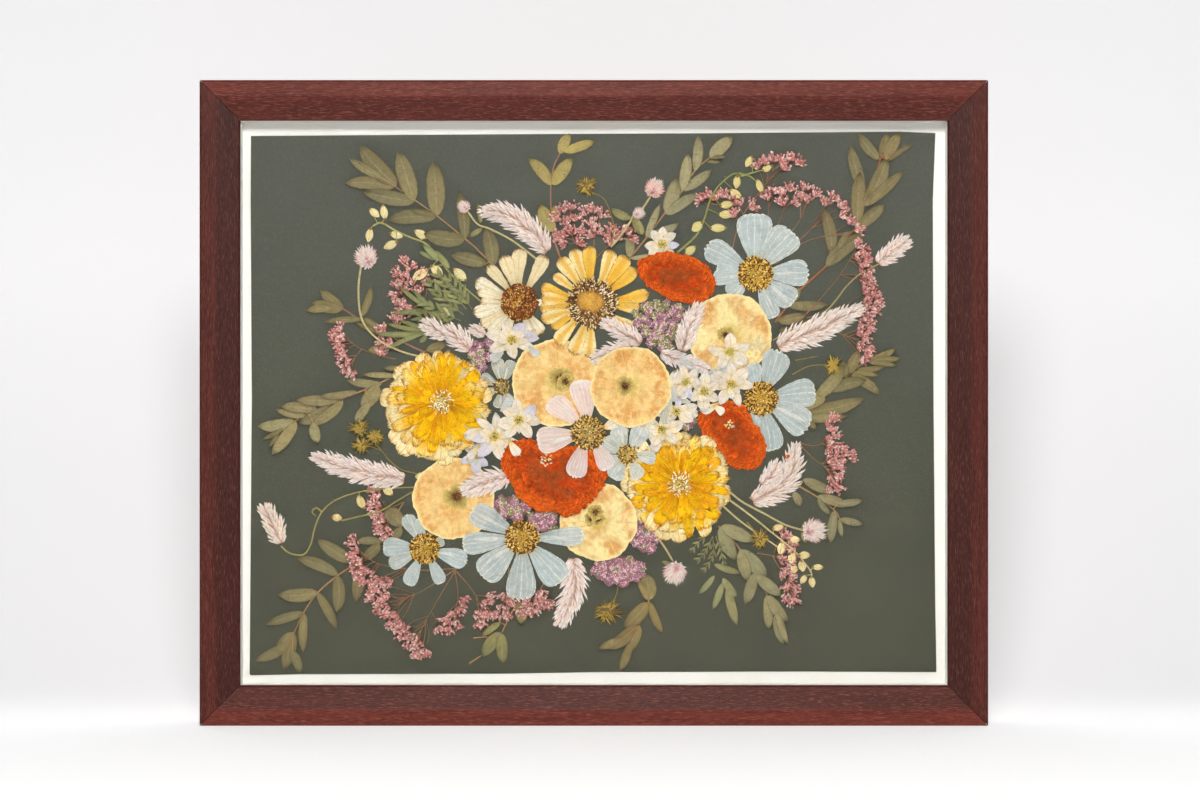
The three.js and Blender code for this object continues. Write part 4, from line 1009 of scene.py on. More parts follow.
def lay_plume(name):
    """Rows of pointed scales, laid from the tip back to the foot so that each row covers the next."""
    line, width = PLUMES[name]
    piece = Piece(name, "pale_bloom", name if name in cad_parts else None)
    dice = piece.dice
    pale = PLUME_TINTS.get(name, colour(240, 222, 214))
    # Shade and tan are painted shade: the dark underlay and the scales' darker roots stand in for the shade
    # between the overlapping scales.
    tan, shade = colour(222, 186, 168), colour(172, 132, 112)
    light, dry = colour(252, 243, 237), colour(234, 210, 190)
    path = smooth_line(line, 1.45)
    # An underlay in the shade tint, painted shade that shows between the scales.
    blade(piece, "bract", line[0], line[-1], width * 0.7, SCALE, varied(shade, dice),
          bend=plume_bend(line), edge=-0.05, curl=0.0, crumple=0.1)
    for i in range(len(path) - 2, -1, -1):
        part = i / (len(path) - 1)
        half = np.interp(part, *PLUME_WIDTH) * width / 2
        ahead = path[i + 1] - path[i]
        heading = math.degrees(math.atan2(ahead[1], ahead[0]))
        side = np.array([-ahead[1], ahead[0]]) / math.hypot(*ahead)
        for out in (0.66, 0.42, 0.14) if i % 2 else (0.54, 0.28, 0.0):
            for way in (-1, 1) if out else (dice.choice([-1, 1]),):
                start = path[i] + side * way * out * half * 0.72
                degrees = heading + way * (16 + 46 * out) * (1.1 - 0.6 * part) + dice.uniform(-10, 10)
                reach = (0.5 * half + 3.2) * dice.uniform(0.75, 1.3)
                tip = toward(start, degrees, reach)
                tint = [(0, shade), (0.25, tan), (0.55, pale), (0.85, varied(light, dice, 0.03)), (1, dry)]
                blade(piece, "bract", start, tip, dice.uniform(1.2, 2.0), SCALE,
                      varied(tint, dice, 0.12), way * 0.06, **BRACT_FORM)
    return piece


def plume_bend(line):
    """How far the middle of a plume's line lies from the straight line between its ends, as a bend."""
    start, middle, end = (np.array(line[i], float) for i in (0, len(line) // 2, -1))
    along = end - start
    length = math.hypot(*along)
    return float(np.dot(middle - (start + end) / 2, [-along[1], along[0]]) / length ** 2)


# ---------------------------------------------------------------------------------------------
# Hearts: the grainy middles of the open flowers
# ---------------------------------------------------------------------------------------------

# Radius, dark tint, light tint, and the tint of the core
HEARTS = {
    "cosmos_top_right": (12.8, colour(140, 96, 34), colour(216, 168, 62), colour(158, 136, 60)),
    "cosmos_right": (12.4, colour(144, 100, 36), colour(216, 170, 66), colour(176, 142, 64)),
    "cosmos_blush": (12.6, colour(132, 102, 50), colour(198, 164, 92), colour(160, 136, 74)),
    "cosmos_small": (6.0, colour(112, 90, 50), colour(176, 152, 96), colour(150, 136, 76)),
    "cosmos_centre": (7.0, colour(140, 108, 46), colour(206, 168, 84), colour(176, 156, 84)),
    "cosmos_low_left": (11.2, colour(140, 96, 36), colour(212, 166, 62), colour(156, 134, 62)),
    "cosmos_low": (12.4, colour(138, 94, 36), colour(208, 160, 64), colour(172, 138, 62)),
}


def lay_stamens(piece, middle, radius, dark, light, core):
    """A heart of gold anthers, each with a dark dash beside it, round a smoother middle."""
    dice = piece.dice
    disc(piece, "grain", middle, radius * 0.95, [(0, core), (0.45, light), (0.75, dark), (1, dark)], 6, 32,
         lambda r, a: 0.6 * np.sqrt(np.maximum(1 - r ** 2, 0)) + 0.1 * np.cos(11 * a) * r,
         lambda a: 0.05 * np.cos(7 * a + radius) + 0.04 * np.cos(13 * a))
    number = int(radius ** 2 * 0.9)
    inside = scattered(dice, middle, radius * 0.6, radius * 0.6, number)
    tints = [(core, 3), (light, 4), (CREAM, 0.6), (dark, 1.5)]
    beads(piece, "grain", inside, 1.15, 0.95, dice.uniform(0, TURN, number), 0.7,
          picked(dice, tints, number), 2, 6)
    for inner, outer, share in ((0.6, 0.97, 1.0), (0.4, 0.8, 0.45)):
        number = int(radius ** 2 * 0.8 * share)
        for tints, longs, wides, turn in (
            ([(DARK_BROWN, 5), (BROWN, 1)], (1.6, 2.6), (0.7, 1.0), 0.15),
            ([(light, 4), (colour(238, 202, 112), 4), (dark, 1)], (1.3, 2.0), (1.0, 1.4), 0.5),
        ):
            spots = scattered(dice, middle, radius * outer, radius * outer, number, inner)
            away = outward(spots, middle) + dice.normal(0, turn, number)
            beads(piece, "grain", spots, dice.uniform(*longs, number), dice.uniform(*wides, number),
                  away, dice.uniform(0.6, 1.0, number), picked(dice, tints, number), 2, 6)


def lay_heart(piece, middle, radius, ground, grains, count, size=1.3, height=0.7, inner=0.0):
    """A low mound with grains over it. The grains are a list of (tint, share)."""
    dice = piece.dice
    disc(piece, "grain", middle, radius, [(0, ground), (1, varied(ground, dice, 0.1))], 6, 28,
         lambda r, a: height * np.sqrt(np.maximum(1 - r ** 2, 0)) + 0.1 * np.cos(9 * a) * r,
         lambda a: 0.04 * np.cos(7 * a + radius) + 0.03 * np.cos(13 * a))
    spots = scattered(dice, middle, radius * 0.97, radius * 0.97, count, inner)
    beads(piece, "grain", spots, size * dice.uniform(0.9, 1.7, count),
          size * dice.uniform(0.6, 1.0, count), outward(spots, middle) + dice.normal(0, 0.5, count),
          dice.uniform(0.4, 0.9, count), picked(dice, grains, count), 2, 6)


# ---------------------------------------------------------------------------------------------
# Cosmos: thin, see-through petals with ragged ends
# ---------------------------------------------------------------------------------------------

# The middle, and the petals: angle, reach, width
COSMOS = {
    "cosmos_top_right": ((114, 91), [
        (151, 41, 17), (91, 43, 24), (49, 40, 22), (1.5, 38.5, 18), (325, 34, 16), (293, 34, 12),
        (218, 25, 13), (186, 30, 11), (172, 28, 8),
    ]),
    "cosmos_right": ((118, 3), [
        (70, 37, 19), (105, 26, 12), (7, 39, 19), (328, 40, 20), (281, 38, 18), (250, 20, 9),
    ]),
    "cosmos_blush": ((-4, -21), [
        (140, 37, 15), (99, 38, 17), (190, 37, 18), (253, 34, 14), (300, 30, 12),
    ]),
    "cosmos_small": ((-65, 11.5), [
        (100, 20.5, 9), (68, 20, 8), (154, 16.5, 8), (203, 16.5, 8), (260, 15.5, 8), (303, 19, 8),
    ]),
    "cosmos_centre": ((23.5, -36.5), [
        (150, 20, 12), (110, 21, 12), (60, 22, 13), (352, 21, 9), (297, 19, 10), (238, 20, 12),
        (198, 17, 9),
    ]),
    "cosmos_low_left": ((-119.5, -103), [
        (119.5, 28, 10), (100, 22, 7), (178, 29.5, 13), (205, 28, 10), (245, 28.5, 10),
        (296, 27.5, 9), (343, 32, 13), (25, 15, 7),
    ]),
    "cosmos_low": ((-50.5, -95), [
        (152, 42, 17), (187, 43, 15), (224, 40, 20), (268, 45, 20), (312, 42, 20), (2, 44, 13),
    ]),
}
COSMOS_TINTS = {
    "cosmos_blush": [(0, colour(240, 210, 196)), (1, colour(240, 222, 216))],
    "cosmos_small": [(0, colour(200, 192, 160)), (1, colour(216, 213, 198))],
    "cosmos_centre": [(0, colour(206, 206, 180)), (0.5, colour(222, 224, 214)),
                      (1, colour(226, 228, 222))],
}


FRAY_STEPS = 40


def notched(dice, depth):
    """The ragged end of a petal: three uneven teeth."""
    phase = dice.uniform(-0.4, 0.4)
    rough = dice.uniform(0, 1, FRAY_STEPS)

    def ends(s):
        teeth = np.abs(np.sin(1.5 * math.pi * s + phase))
        fray = np.interp(s, np.linspace(-1, 1, FRAY_STEPS), rough)
        return 1 - depth * (0.35 * s ** 2 + 0.5 * (1 - teeth) + 0.3 * fray)
    return ends


def lay_cosmos(name):
    """Broad petals, some with a narrow fold on top, round a heart of anthers."""
    middle, petals = COSMOS[name]
    piece = Piece(name, "white_petal", name)
    dice = piece.dice
    radius, dark, light, core = HEARTS[name]
    look = "cosmos_blush_petal" if name == "cosmos_blush" else "cosmos_petal"
    for i, (degrees, reach, width) in enumerate(petals):
        small = min(reach / 40, 1)
        tint = COSMOS_TINTS.get(name, [(0, colour(190, 186, 150)), (0.3, PALE_BLUE), (1, PALE_BLUE)])
        blade(piece, look, toward(middle, degrees, radius * 0.5), toward(middle, degrees, reach),
              width * 1.06, COSMOS_PETAL, varied(tint, dice, 0.06), dice.uniform(-0.04, 0.04), 0.95,
              notched(dice, 0.04 if i % 3 else 0.1), gap=0.6, edge=0.5 * small, curl=0.6 * small,
              wave=0.25 * small, waves=3, pleat=0.2 * small, pleats=4 if width > 12 else 3, crumple=0.2,
              size=9)
        if dice.random() < 0.6:
            lean = dice.uniform(-0.3, 0.3) * math.degrees(width / reach)
            blade(piece, look, toward(middle, degrees + lean * 0.3, radius * 0.9),
                  toward(middle, degrees + lean, reach * dice.uniform(0.7, 0.96)),
                  width * dice.uniform(0.1, 0.2), POINTED_PETAL, colour(240, 240, 232),
                  dice.uniform(-0.05, 0.05), 0.95, gap=0.15, edge=0.2, curl=0.3, crumple=0.1)
    lay_stamens(piece, middle, radius, dark, light, core)
    return piece


# ---------------------------------------------------------------------------------------------
# Zinnias: single ones with a broad grainy heart, and double ones
# ---------------------------------------------------------------------------------------------

# The middle, and the petals: angle, reach, width
ZINNIAS = {
    "zinnia_cream": ((-52.5, 71), [
        (131, 35.5, 8), (109, 36, 9.5), (89, 38.5, 10.5), (61, 38.5, 9.5), (154, 35, 10), (166, 32, 6),
        (180, 28.5, 7), (193.5, 34.5, 9), (211, 33, 9), (228, 32, 8), (243, 24, 7), (287, 24, 6),
        (296, 28, 6), (308, 28, 7), (0, 18, 5),
    ]),
    "zinnia_ochre": ((-1, 70), [
        (109, 41.5, 9.5), (93, 41.5, 9.5), (70, 41.5, 10), (54, 42, 10.5), (39, 39.8, 9),
        (10, 41.6, 9), (357, 34, 9), (330, 33, 7), (318, 27, 6), (265.6, 39, 9), (249, 39.6, 11),
        (228, 39, 10), (209.5, 34.5, 8), (198, 39, 9), (185, 38, 8), (174, 37.5, 9), (162, 39, 9),
        (143, 35, 7), (126, 41, 10),
    ]),
}


def lay_zinnia_petals(piece, middle, petals, start, tints, look):
    """Two layers of spoon-shaped petals: every other one lies over its neighbours."""
    dice = piece.dice
    for layer in (0, 1):
        for degrees, reach, width in petals[layer::2]:
            tint = varied(tints[int(dice.integers(len(tints)))], dice, 0.05)
            blade(piece, look, toward(middle, degrees, start), toward(middle, degrees, reach),
                  width * 1.08, SPOON_PETAL, tint, dice.uniform(-0.04, 0.04), 0.9,
                  notched(dice, dice.uniform(0.04, 0.14)), gap=0.35, edge=0.6, curl=0.5, wave=0.45,
                  waves=2, rib=-0.25, pleat=0.3, pleats=3, crumple=0.45, size=4.5)


def lay_zinnia_cream(name):
    """Cream petals round a brown heart that is golden on one side."""
    middle, petals = ZINNIAS[name]
    piece = Piece(name, "cream_petal", name)
    tints = [[(0, colour(170, 140, 84)), (0.3, colour(222, 206, 168)), (0.75, colour(240, 232, 208)),
              (1, colour(226, 204, 156))],
             [(0, colour(176, 150, 100)), (0.4, colour(234, 224, 196)), (1, colour(240, 230, 204))],
             [(0, colour(176, 150, 100)), (0.4, colour(226, 210, 170)), (1, colour(234, 216, 174))]]
    lay_zinnia_petals(piece, middle, petals, 8, tints, "zinnia_pale_petal")
    brown = colour(116, 62, 28)
    lay_heart(piece, middle, 13.2, brown,
              [(brown, 4), (colour(158, 92, 44), 3), (DARK_BROWN, 3), (colour(204, 154, 70), 2.4),
               (colour(228, 200, 140), 0.8)], 520, 1.25, 1.0)
    gold = scattered(piece.dice, (middle[0] - 4, middle[1] + 3), 7, 7, 70)
    beads(piece, "grain", gold, 1.4, 0.8, piece.dice.uniform(0, TURN, 70), 0.7,
          picked(piece.dice, [(colour(206, 158, 64), 3), (colour(232, 200, 120), 1), (brown, 2)], 70))
    return piece


def lay_zinnia_ochre(name):
    """Ochre petals round a broad brown heart with a golden core."""
    middle, petals = ZINNIAS[name]
    piece = Piece(name, "yellow_petal", name)
    dice = piece.dice
    tints = [[(0, colour(190, 146, 70)), (0.35, colour(228, 204, 136)), (0.7, colour(240, 224, 172)),
              (1, colour(226, 202, 148))],
             [(0, colour(190, 146, 70)), (0.45, colour(230, 190, 92)), (0.75, colour(238, 218, 160)),
              (1, colour(226, 200, 142))],
             [(0, colour(176, 126, 50)), (0.35, colour(224, 168, 44)), (0.75, colour(234, 192, 78)),
              (1, colour(220, 184, 116))]]
    lay_zinnia_petals(piece, middle, petals, 12, tints, "zinnia_ochre_petal")
    lay_heart(piece, middle, 17.0, colour(120, 82, 40),
              [(colour(158, 108, 52), 3), (DARK_BROWN, 4), (colour(206, 168, 96), 3), (WHITE_CREAM, 2)],
              520, 1.3, 0.8)
    ring = scattered(dice, middle, 18.5, 18.5, 230, 0.62)
    beads(piece, "grain", ring, dice.uniform(1.6, 3.4, 230), 0.9,
          outward(ring, middle) + dice.normal(0, 0.4, 230), 0.7,
          picked(dice, [(colour(104, 66, 32), 3), (colour(226, 206, 150), 3), (WHITE_CREAM, 2),
                        (DARK_BROWN, 3)], 230))
    core = (middle[0] - 1.5, middle[1] + 1.5)
    disc(piece, "grain", core, 8.5, [(0, colour(206, 158, 70)), (0.7, colour(196, 144, 56)),
                                     (1, colour(150, 104, 44))], 8, 40,
         lambda r, a: 0.5 * np.sqrt(np.maximum(1 - r ** 2, 0)) + 0.1 * np.cos(6 * a) * r,
         lambda a: 0.16 * np.cos(2 * a + 0.4) + 0.05 * np.cos(5 * a), 0.3)
    grains = scattered(dice, core, 7.5, 6.5, 60)
    beads(piece, "grain", grains, 1.1, 0.8, dice.uniform(0, TURN, 60), 0.3,
          picked(dice, [(colour(214, 168, 80), 4), (colour(160, 110, 50), 2)], 60))
    return piece


# Double zinnias: the middle of the bloom, its reach, and the middle of its rays
DOUBLE_ZINNIAS = {
    "zinnia_yellow_left": ((-111.5, -4), 41.5, (-107.5, 0)),
    "zinnia_yellow_right": ((58.5, -58), 41, (61, -57)),
}


def lay_double_zinnia(name):
    """Whorls of petals from the pale outer ones to the bright rays in the middle."""
    middle, reach, core = DOUBLE_ZINNIAS[name]
    piece = Piece(name, "yellow_petal", name)
    dice = piece.dice
    cream = [(0, colour(220, 158, 40)), (0.45, colour(236, 196, 96)), (0.8, colour(242, 224, 172)),
             (1, colour(226, 196, 134))]
    pale = [(0, colour(214, 166, 70)), (0.4, colour(236, 212, 146)), (0.85, colour(243, 230, 190)),
            (1, colour(220, 188, 122))]
    bright = [(0, colour(208, 138, 8)), (0.5, colour(238, 176, 4)), (0.85, colour(244, 190, 10)),
              (1, colour(232, 166, 20))]
    amber = [(0, colour(180, 112, 8)), (0.6, colour(222, 150, 4)), (1, colour(236, 180, 30))]
    tipped = [(0, colour(214, 146, 8)), (0.6, colour(238, 180, 16)), (0.88, colour(240, 212, 120)),
              (1, colour(206, 160, 84))]
    # Count, reach, start and width as parts of the bloom's reach, tints, look, outline, unevenness
    whorls = [
        (23, 1.0, 0.42, 0.3, [cream, pale], "zinnia_double_outer", SPOON_PETAL, 0.6),
        (22, 0.95, 0.38, 0.25, [cream, tipped], "zinnia_double_outer", SPOON_PETAL, 0.8),
        (22, 0.93, 0.12, 0.2, [tipped, cream, bright], "zinnia_double_ray", STRAP, 1.0),
        (22, 0.86, 0.1, 0.17, [tipped, amber, bright], "zinnia_double_ray", STRAP, 1.0),
        (18, 0.74, 0.08, 0.13, [bright, bright, amber], "zinnia_double_ray", RAY_PETAL, 1.0),
        (14, 0.5, 0.07, 0.1, [bright, amber], "zinnia_double_ray", RAY_PETAL, 1.0),
    ]
    for number, (count, out, start, width, tints, look, outline, unevenness) in enumerate(whorls):
        part = min(number / 3, 1)
        hub = (middle[0] * (1 - part) + core[0] * part, middle[1] * (1 - part) + core[1] * part)
        turn = dice.uniform(0, 360)
        order = list(range(0, count, 2)) + list(range(1, count, 2))
        for i in order:
            degrees = turn + 360 * (i + unevenness * dice.uniform(-0.42, 0.42)) / count
            length = reach * out * (1 + unevenness * dice.uniform(-0.22, 0.06))
            tint = tints[int(dice.integers(len(tints)))]
            blade(piece, look, toward(hub, degrees, reach * start), toward(hub, degrees, length),
                  reach * width * (1 + unevenness * dice.uniform(-0.33, 0.33)), outline,
                  varied(tint, dice, 0.12), dice.uniform(-0.08, 0.08), 0.95,
                  notched(dice, dice.uniform(0.04, 0.22)), press=0.3, gap=0.12, edge=0.5, curl=0.3,
                  wave=0.4, waves=dice.uniform(1, 3), rib=-0.15, pleat=0.22, pleats=4, crumple=0.35,
                  size=4)
    lay_heart(piece, core, 5.5, colour(190, 150, 60),
              [(colour(226, 196, 110), 3), (colour(240, 232, 206), 3), (colour(150, 108, 40), 2)],
              70, 1.2, 0.4)
    bits = scattered(dice, core, 9, 9, 60, 0.45)
    beads(piece, "grain", bits, dice.uniform(1.5, 3.4, 60), 0.8,
          outward(bits, core) + dice.normal(0, 0.6, 60), 0.5,
          picked(dice, [(colour(244, 238, 220), 4), (colour(226, 180, 70), 2),
                        (colour(150, 106, 40), 1)], 60), lift=0.2)
    return piece


# ---------------------------------------------------------------------------------------------
# Poppies: round papery flowers
# ---------------------------------------------------------------------------------------------

PEACH = colour(238, 200, 128)
PALE_YELLOW = colour(244, 224, 158)
# The middle, the radius, the tint of the petals, and the dark spots of the heart (across, up, radius)
POPPIES = {
    "poppy_low_left": ((-99, -67.5), 29, PEACH, [(-97, -66, 4.5)]),
    "poppy_right": ((96, 48), 29.5, PALE_YELLOW, [(93, 48, 2.6)]),
    "poppy_left": ((-27, 14), 31, PEACH, [(-23, 17, 4.4), (-20, 15, 2.5)]),
    "poppy_low_right": ((3, -84), 27.5, PALE_YELLOW, [(-2, -82, 2), (3, -82, 2), (1, -77, 2.4)]),
    "poppy_centre": ((26, 11.5), 28.5, PEACH, [(22, 12, 3.2)]),
}
POPPY_PETALS = 5


def lay_poppy(name):
    """Broad petals that overlap all round, so that they read as one disc with soft creases."""
    middle, radius, tint, spots = POPPIES[name]
    piece = Piece(name, "peach_petal", name)
    dice = piece.dice
    phase = dice.uniform(0, TURN, 8)
    amber, rim = colour(216, 144, 66), colour(246, 224, 160)
    broad, small, patches, streaks = (swells(dice, size) for size in (16, 6, 20, 7))

    def spot(r, a):
        return np.stack([radius * r * np.cos(a), radius * r * np.sin(a)], -1)

    def relief(r, a):
        overlap = np.mod(POPPY_PETALS * a / TURN + phase[4] + 0.4 * r, 1) ** 8
        pleats = 0.1 * np.cos(29 * a + phase[0] + 3 * r) * r
        swell = 0.6 + 0.3 * broad(spot(r, a)) + 0.16 * small(spot(r, a)) + pleats
        return swell + 0.6 * overlap * r + 0.5 * r ** 10

    def wobble(a):
        lobes = np.abs(np.cos(POPPY_PETALS * a / 2 + phase[5]))
        return (0.035 * (lobes - 0.7) + 0.012 * np.cos(9 * a + phase[6]) + 0.006 * np.cos(23 * a + phase[7])
                + 0.004 * np.cos(41 * a + phase[1]))

    def tints(points, along):
        local = points - np.array(middle)
        part = np.clip(0.4 + 0.55 * patches(local) + 0.25 * streaks(local), 0, 1)
        part = part * (0.45 + 0.75 * along) * np.clip((0.97 - along) * 14, 0, 1)
        base = along_stops([(0, colour(206, 182, 96)), (0.14, colour(222, 196, 110)), (0.34, tint),
                            (0.94, tint), (0.975, rim), (1, rim)], along)
        return base + (np.array(amber[:3]) - base) * (0.8 * part)[..., None]

    disc(piece, "poppy_petal", middle, radius, tints, 40, 200, relief, wobble, 0.3)
    for across, up, size in spots:
        stops = [(0, colour(104, 66, 34)), (0.35, colour(132, 104, 52)), (0.7, colour(178, 154, 80)),
                 (1, colour(214, 184, 112))]
        disc(piece, "grain", (across, up), size * 1.7 + 1.5, stops, 8, 30,
             lambda r, a: 0.25 * (1 - r) + 0.08 * np.cos(9 * a) * r,
             lambda a: 0.1 * np.cos(3 * a + up) + 0.07 * np.cos(7 * a) + 0.04 * np.cos(12 * a), 0.04)
        count = int(size ** 2 * 2) + 6
        beads(piece, "grain", scattered(dice, (across, up), size * 0.7, size * 0.7, count), 1.2, 1.0,
              dice.uniform(0, TURN, count), 0.5,
              picked(dice, [(colour(96, 50, 30), 4), (DARK_BROWN, 3), (colour(150, 104, 54), 1.5)], count))
        halo = scattered(dice, (across, up), size * 1.9, size * 1.9, 26, 0.55)
        beads(piece, "grain", halo, 1.8, 0.5, outward(halo, (across, up)), 0.25,
              picked(dice, [(colour(206, 182, 100), 3), (colour(160, 116, 56), 1)], 26))
    return piece


# ---------------------------------------------------------------------------------------------
# Marigolds: crumpled heads of many ruffled petals
# ---------------------------------------------------------------------------------------------

# The outline of each head
MARIGOLDS = {
    "marigold_top": [
        (30, 99), (40, 105), (50, 107.3), (62, 105), (75, 101), (84, 93), (87, 85), (84, 75), (76, 70.5),
        (63, 71), (52, 73), (45, 78), (37, 83), (30.5, 91),
    ],
    "marigold_right": [
        (72, -8), (80, -1), (93, 3), (108, -4), (113, -14), (119, -21), (122, -27), (121, -38),
        (118, -46), (108, -48), (98, -46), (92, -41), (88, -33), (76, -25), (75, -17),
    ],
    "marigold_middle": [
        (-61, -27), (-50, -24.5), (-40, -29), (-28, -32), (-12, -30), (0, -33), (8, -42), (11, -52),
        (6, -61), (0, -69), (-9, -77), (-20, -82), (-27, -76), (-41, -77), (-48, -72), (-56, -64),
        (-60, -54), (-67, -46), (-65, -37),
    ],
}
# Pale bits in the middle: across, up, reach, count
MARIGOLD_BITS = {"marigold_right": (95, -15, 3.5, 10), "marigold_middle": (-34, -40, 4.5, 16)}


def lay_marigold(name):
    """A crumpled disc to the head's outline, with ruffled petals laid from its rim inwards."""
    outline = np.array(MARIGOLDS[name], float)
    piece = Piece(name, "orange_petal", name)
    dice = piece.dice
    middle = outline.mean(0)
    angles = np.unwrap(np.arctan2(outline[:, 1] - middle[1], outline[:, 0] - middle[0]))
    order = np.argsort(np.mod(angles, TURN))
    rim_angles = np.mod(angles, TURN)[order]
    rim = np.hypot(outline[:, 0] - middle[0], outline[:, 1] - middle[1])[order]

    def reach(angle):
        return np.interp(np.mod(angle, TURN), rim_angles, rim, period=TURN)

    brown, deep, bright = colour(160, 74, 30), colour(192, 66, 10), colour(220, 92, 14)
    broad, fine, patches = (swells(dice, size) for size in (9, 3.2, 14))

    def spot(r, a):
        return np.stack([r * reach(a) * np.cos(a), r * reach(a) * np.sin(a)], -1)

    def tints(points, along):
        part = np.clip(0.5 + 0.6 * patches(points) - 1.1 * (along - 0.45), 0, 1)[..., None]
        base = np.array(deep[:3]) * np.ones(along.shape + (3,))
        return base + (np.array(brown[:3]) - base) * part

    def relief(r, a):
        swell = 0.8 + 0.12 * broad(spot(r, a)) + 0.22 * fine(spot(r, a))
        return swell + 0.1 * np.cos(47 * a + 4 * r) * r

    disc(piece, "marigold_disc", middle, 1.0, tints, 44, 200, relief,
         lambda a: reach(a) * (0.95 + 0.02 * np.cos(17 * a)) - 1)
    area = math.pi * rim.mean() ** 2
    for ring, share in ((0.98, 1), (0.93, 1), (0.86, 0.8), (0.78, 0.5), (0.68, 0.25)):
        count = max(int(area / 20 * ring), 5)
        for i in range(count):
            angle = TURN * (i + dice.uniform(-0.4, 0.4)) / count
            out = ring * reach(angle) * dice.uniform(0.95, 1.03)
            tip = toward(middle, math.degrees(angle), out)
            if dice.random() > share:
                continue
            root = toward(tip, math.degrees(angle) + 180 + dice.uniform(-30, 30), dice.uniform(3.5, 6.5))
            tint = [(0, brown), (0.5, deep), (0.9, bright if dice.random() < 0.5 else deep),
                    (1, colour(226, 104, 28))]
            blade(piece, "marigold_petal", root, tip, dice.uniform(2.4, 4.6), RUFFLE,
                  varied(tint, dice, 0.18), dice.uniform(-0.12, 0.12), 0.8, notched(dice, 0.25),
                  press=0.12, gap=0.03, edge=0.3, curl=0.5, wave=0.3, waves=dice.uniform(1, 2),
                  pleat=0.16, pleats=3, crumple=0.25, size=3)
    if name in MARIGOLD_BITS:
        across, up, size, count = MARIGOLD_BITS[name]
        beads(piece, "grain", scattered(dice, (across, up), size, size, count), 2.2, 1.3,
              dice.uniform(0, TURN, count), 0.6,
              picked(dice, [(colour(236, 206, 120), 3), (WHITE_CREAM, 2)], count))
    return piece


# ---------------------------------------------------------------------------------------------
# Yarrow: flat heads of tiny florets
# ---------------------------------------------------------------------------------------------

# Middle, half width, half height, and the share of mauve florets
YARROW = {
    "yarrow_top": [((46, 57), 22, 17, 0.5), ((51, 42), 8, 6, 0.15)],
    "yarrow_low": [((17.5, -118), 20, 11, 0.85)],
    "yarrow_low_right": [((37, -94), 10.5, 13, 0.85)],
    "yarrow_small_low": [((-58, -74), 14, 9, 0.7), ((-36, -83), 12, 8, 0.6)],
    "yarrow_small_left": [((-82, 32), 7, 12, 0.8), ((-73, 41), 5, 4, 0.8), ((-75, 32), 4, 4, 0.8),
                          ((-80, 12), 4, 5, 0.6)],
    "yarrow_small_right": [((66, -13), 7, 6, 0.6)],
}


def lay_yarrow(name):
    """Stalks under a crowd of small domes, each covered with tiny florets."""
    piece = Piece(name, "mauve_floret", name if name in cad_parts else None)
    dice = piece.dice
    for middle, half_width, half_height, mauve in YARROW[name]:
        foot = (middle[0] + dice.normal(0, 1), middle[1] - 0.5 * half_height)
        for _ in range(int(half_width)):
            tip = scattered(dice, middle, half_width * 0.9, half_height * 0.9, 3)[1]
            bow = (np.array(foot) + tip) / 2 + dice.normal(0, 1.5, 2)
            stem(piece, [foot, bow, tip], 0.9, varied(colour(164, 156, 112), dice, 0.15), 0.8, sides=5)
        # A flat dark disc under the mauve heads is painted shade between the domes.
        if mauve > 0.5:
            disc(piece, "floret", middle, 1.0, colour(128, 92, 90), 8, 40, lambda r, a: 0.5 * (1 - r ** 2),
                 lambda a: 0.9 / np.hypot(np.cos(a) / half_width, np.sin(a) / half_height) - 1, 0.3)
        count = int(half_width * half_height * math.pi / 12)
        order = scattered(dice, middle, half_width * 0.92, half_height * 0.92, count)
        order += dice.normal(0, 0.5, (count, 2))
        for spot in dice.permutation(order):
            if dice.random() < mauve:
                deep, light = colour(156, 108, 122), colour(224, 178, 188)
            else:
                deep, light = colour(136, 128, 92), colour(212, 202, 164)
            size = dice.uniform(2.0, 2.9)
            beads(piece, "floret", [spot], 2 * size, 1.8 * size, dice.uniform(0, TURN), 1.7,
                  varied(deep, dice, 0.2), 3, 10)
            florets = scattered(dice, spot, size * 0.95, size * 0.9, 17)
            beads(piece, "floret", florets, dice.uniform(1.1, 1.7, 17), dice.uniform(0.9, 1.3, 17),
                  dice.uniform(0, TURN, 17), 0.7,
                  picked(dice, [(light, 4), (deep, 1.5), (colour(222, 196, 190), 1)], 17), 2, 6)
    return piece


# ---------------------------------------------------------------------------------------------
# Larkspur: small florets of pointed petals
# ---------------------------------------------------------------------------------------------

LARKSPUR_LOOKS = {
    "cream": [(0, colour(196, 178, 84)), (0.2, colour(240, 210, 138)), (0.45, colour(246, 230, 200)),
              (0.8, colour(242, 233, 222)), (1, colour(230, 216, 208))],
    "lavender": [(0, colour(206, 196, 160)), (0.3, colour(230, 224, 228)), (1, colour(204, 204, 234))],
    "blue": [(0, colour(200, 202, 186)), (1, colour(210, 216, 222))],
}
# Middle, reach across, reach up, the petals' angles, and which petals are lavender
LARKSPUR = {
    "larkspur_top": ((48, 112), 11.5, 11.5, [81, 40, 0, 320, 275, 225, 180, 130], [2]),
    "larkspur_left_top": ((-58, 44.5), 18, 12.5, [10, 65, 110, 165, 215, 280, 335], [0, 1]),
    "larkspur_left_blue": ((-84, -37), 10, 13, [60, 130, 200, 270, 330], [0, 1, 2, 3, 4]),
    "larkspur_left_low": ((-70, -24), 18, 16, [85, 35, 340, 290, 235, 180, 130], [4, 5]),
    "larkspur_left": ((-53, -12), 14.5, 14.5, [95, 40, 350, 300, 240, 185, 140], [1]),
    "larkspur_right_top": ((96, 36), 14.5, 12.5, [176, 90, 25, 320, 285, 236], []),
    "larkspur_right": ((97, 13), 14.5, 15.5, [95, 40, 350, 295, 240, 175, 140], []),
    "larkspur_middle_right": ((78, 8), 10, 13.5, [90, 30, 330, 270, 210, 150], []),
    "larkspur_middle": ((65, 15), 9.5, 12, [110, 50, 350, 290, 230, 170], [3]),
    "larkspur_middle_low": ((58, -6), 15.5, 9, [20, 75, 130, 180, 235, 310], [1]),
    "larkspur_centre": ((48, -19), 15.5, 12, [30, 80, 140, 190, 245, 310], []),
}


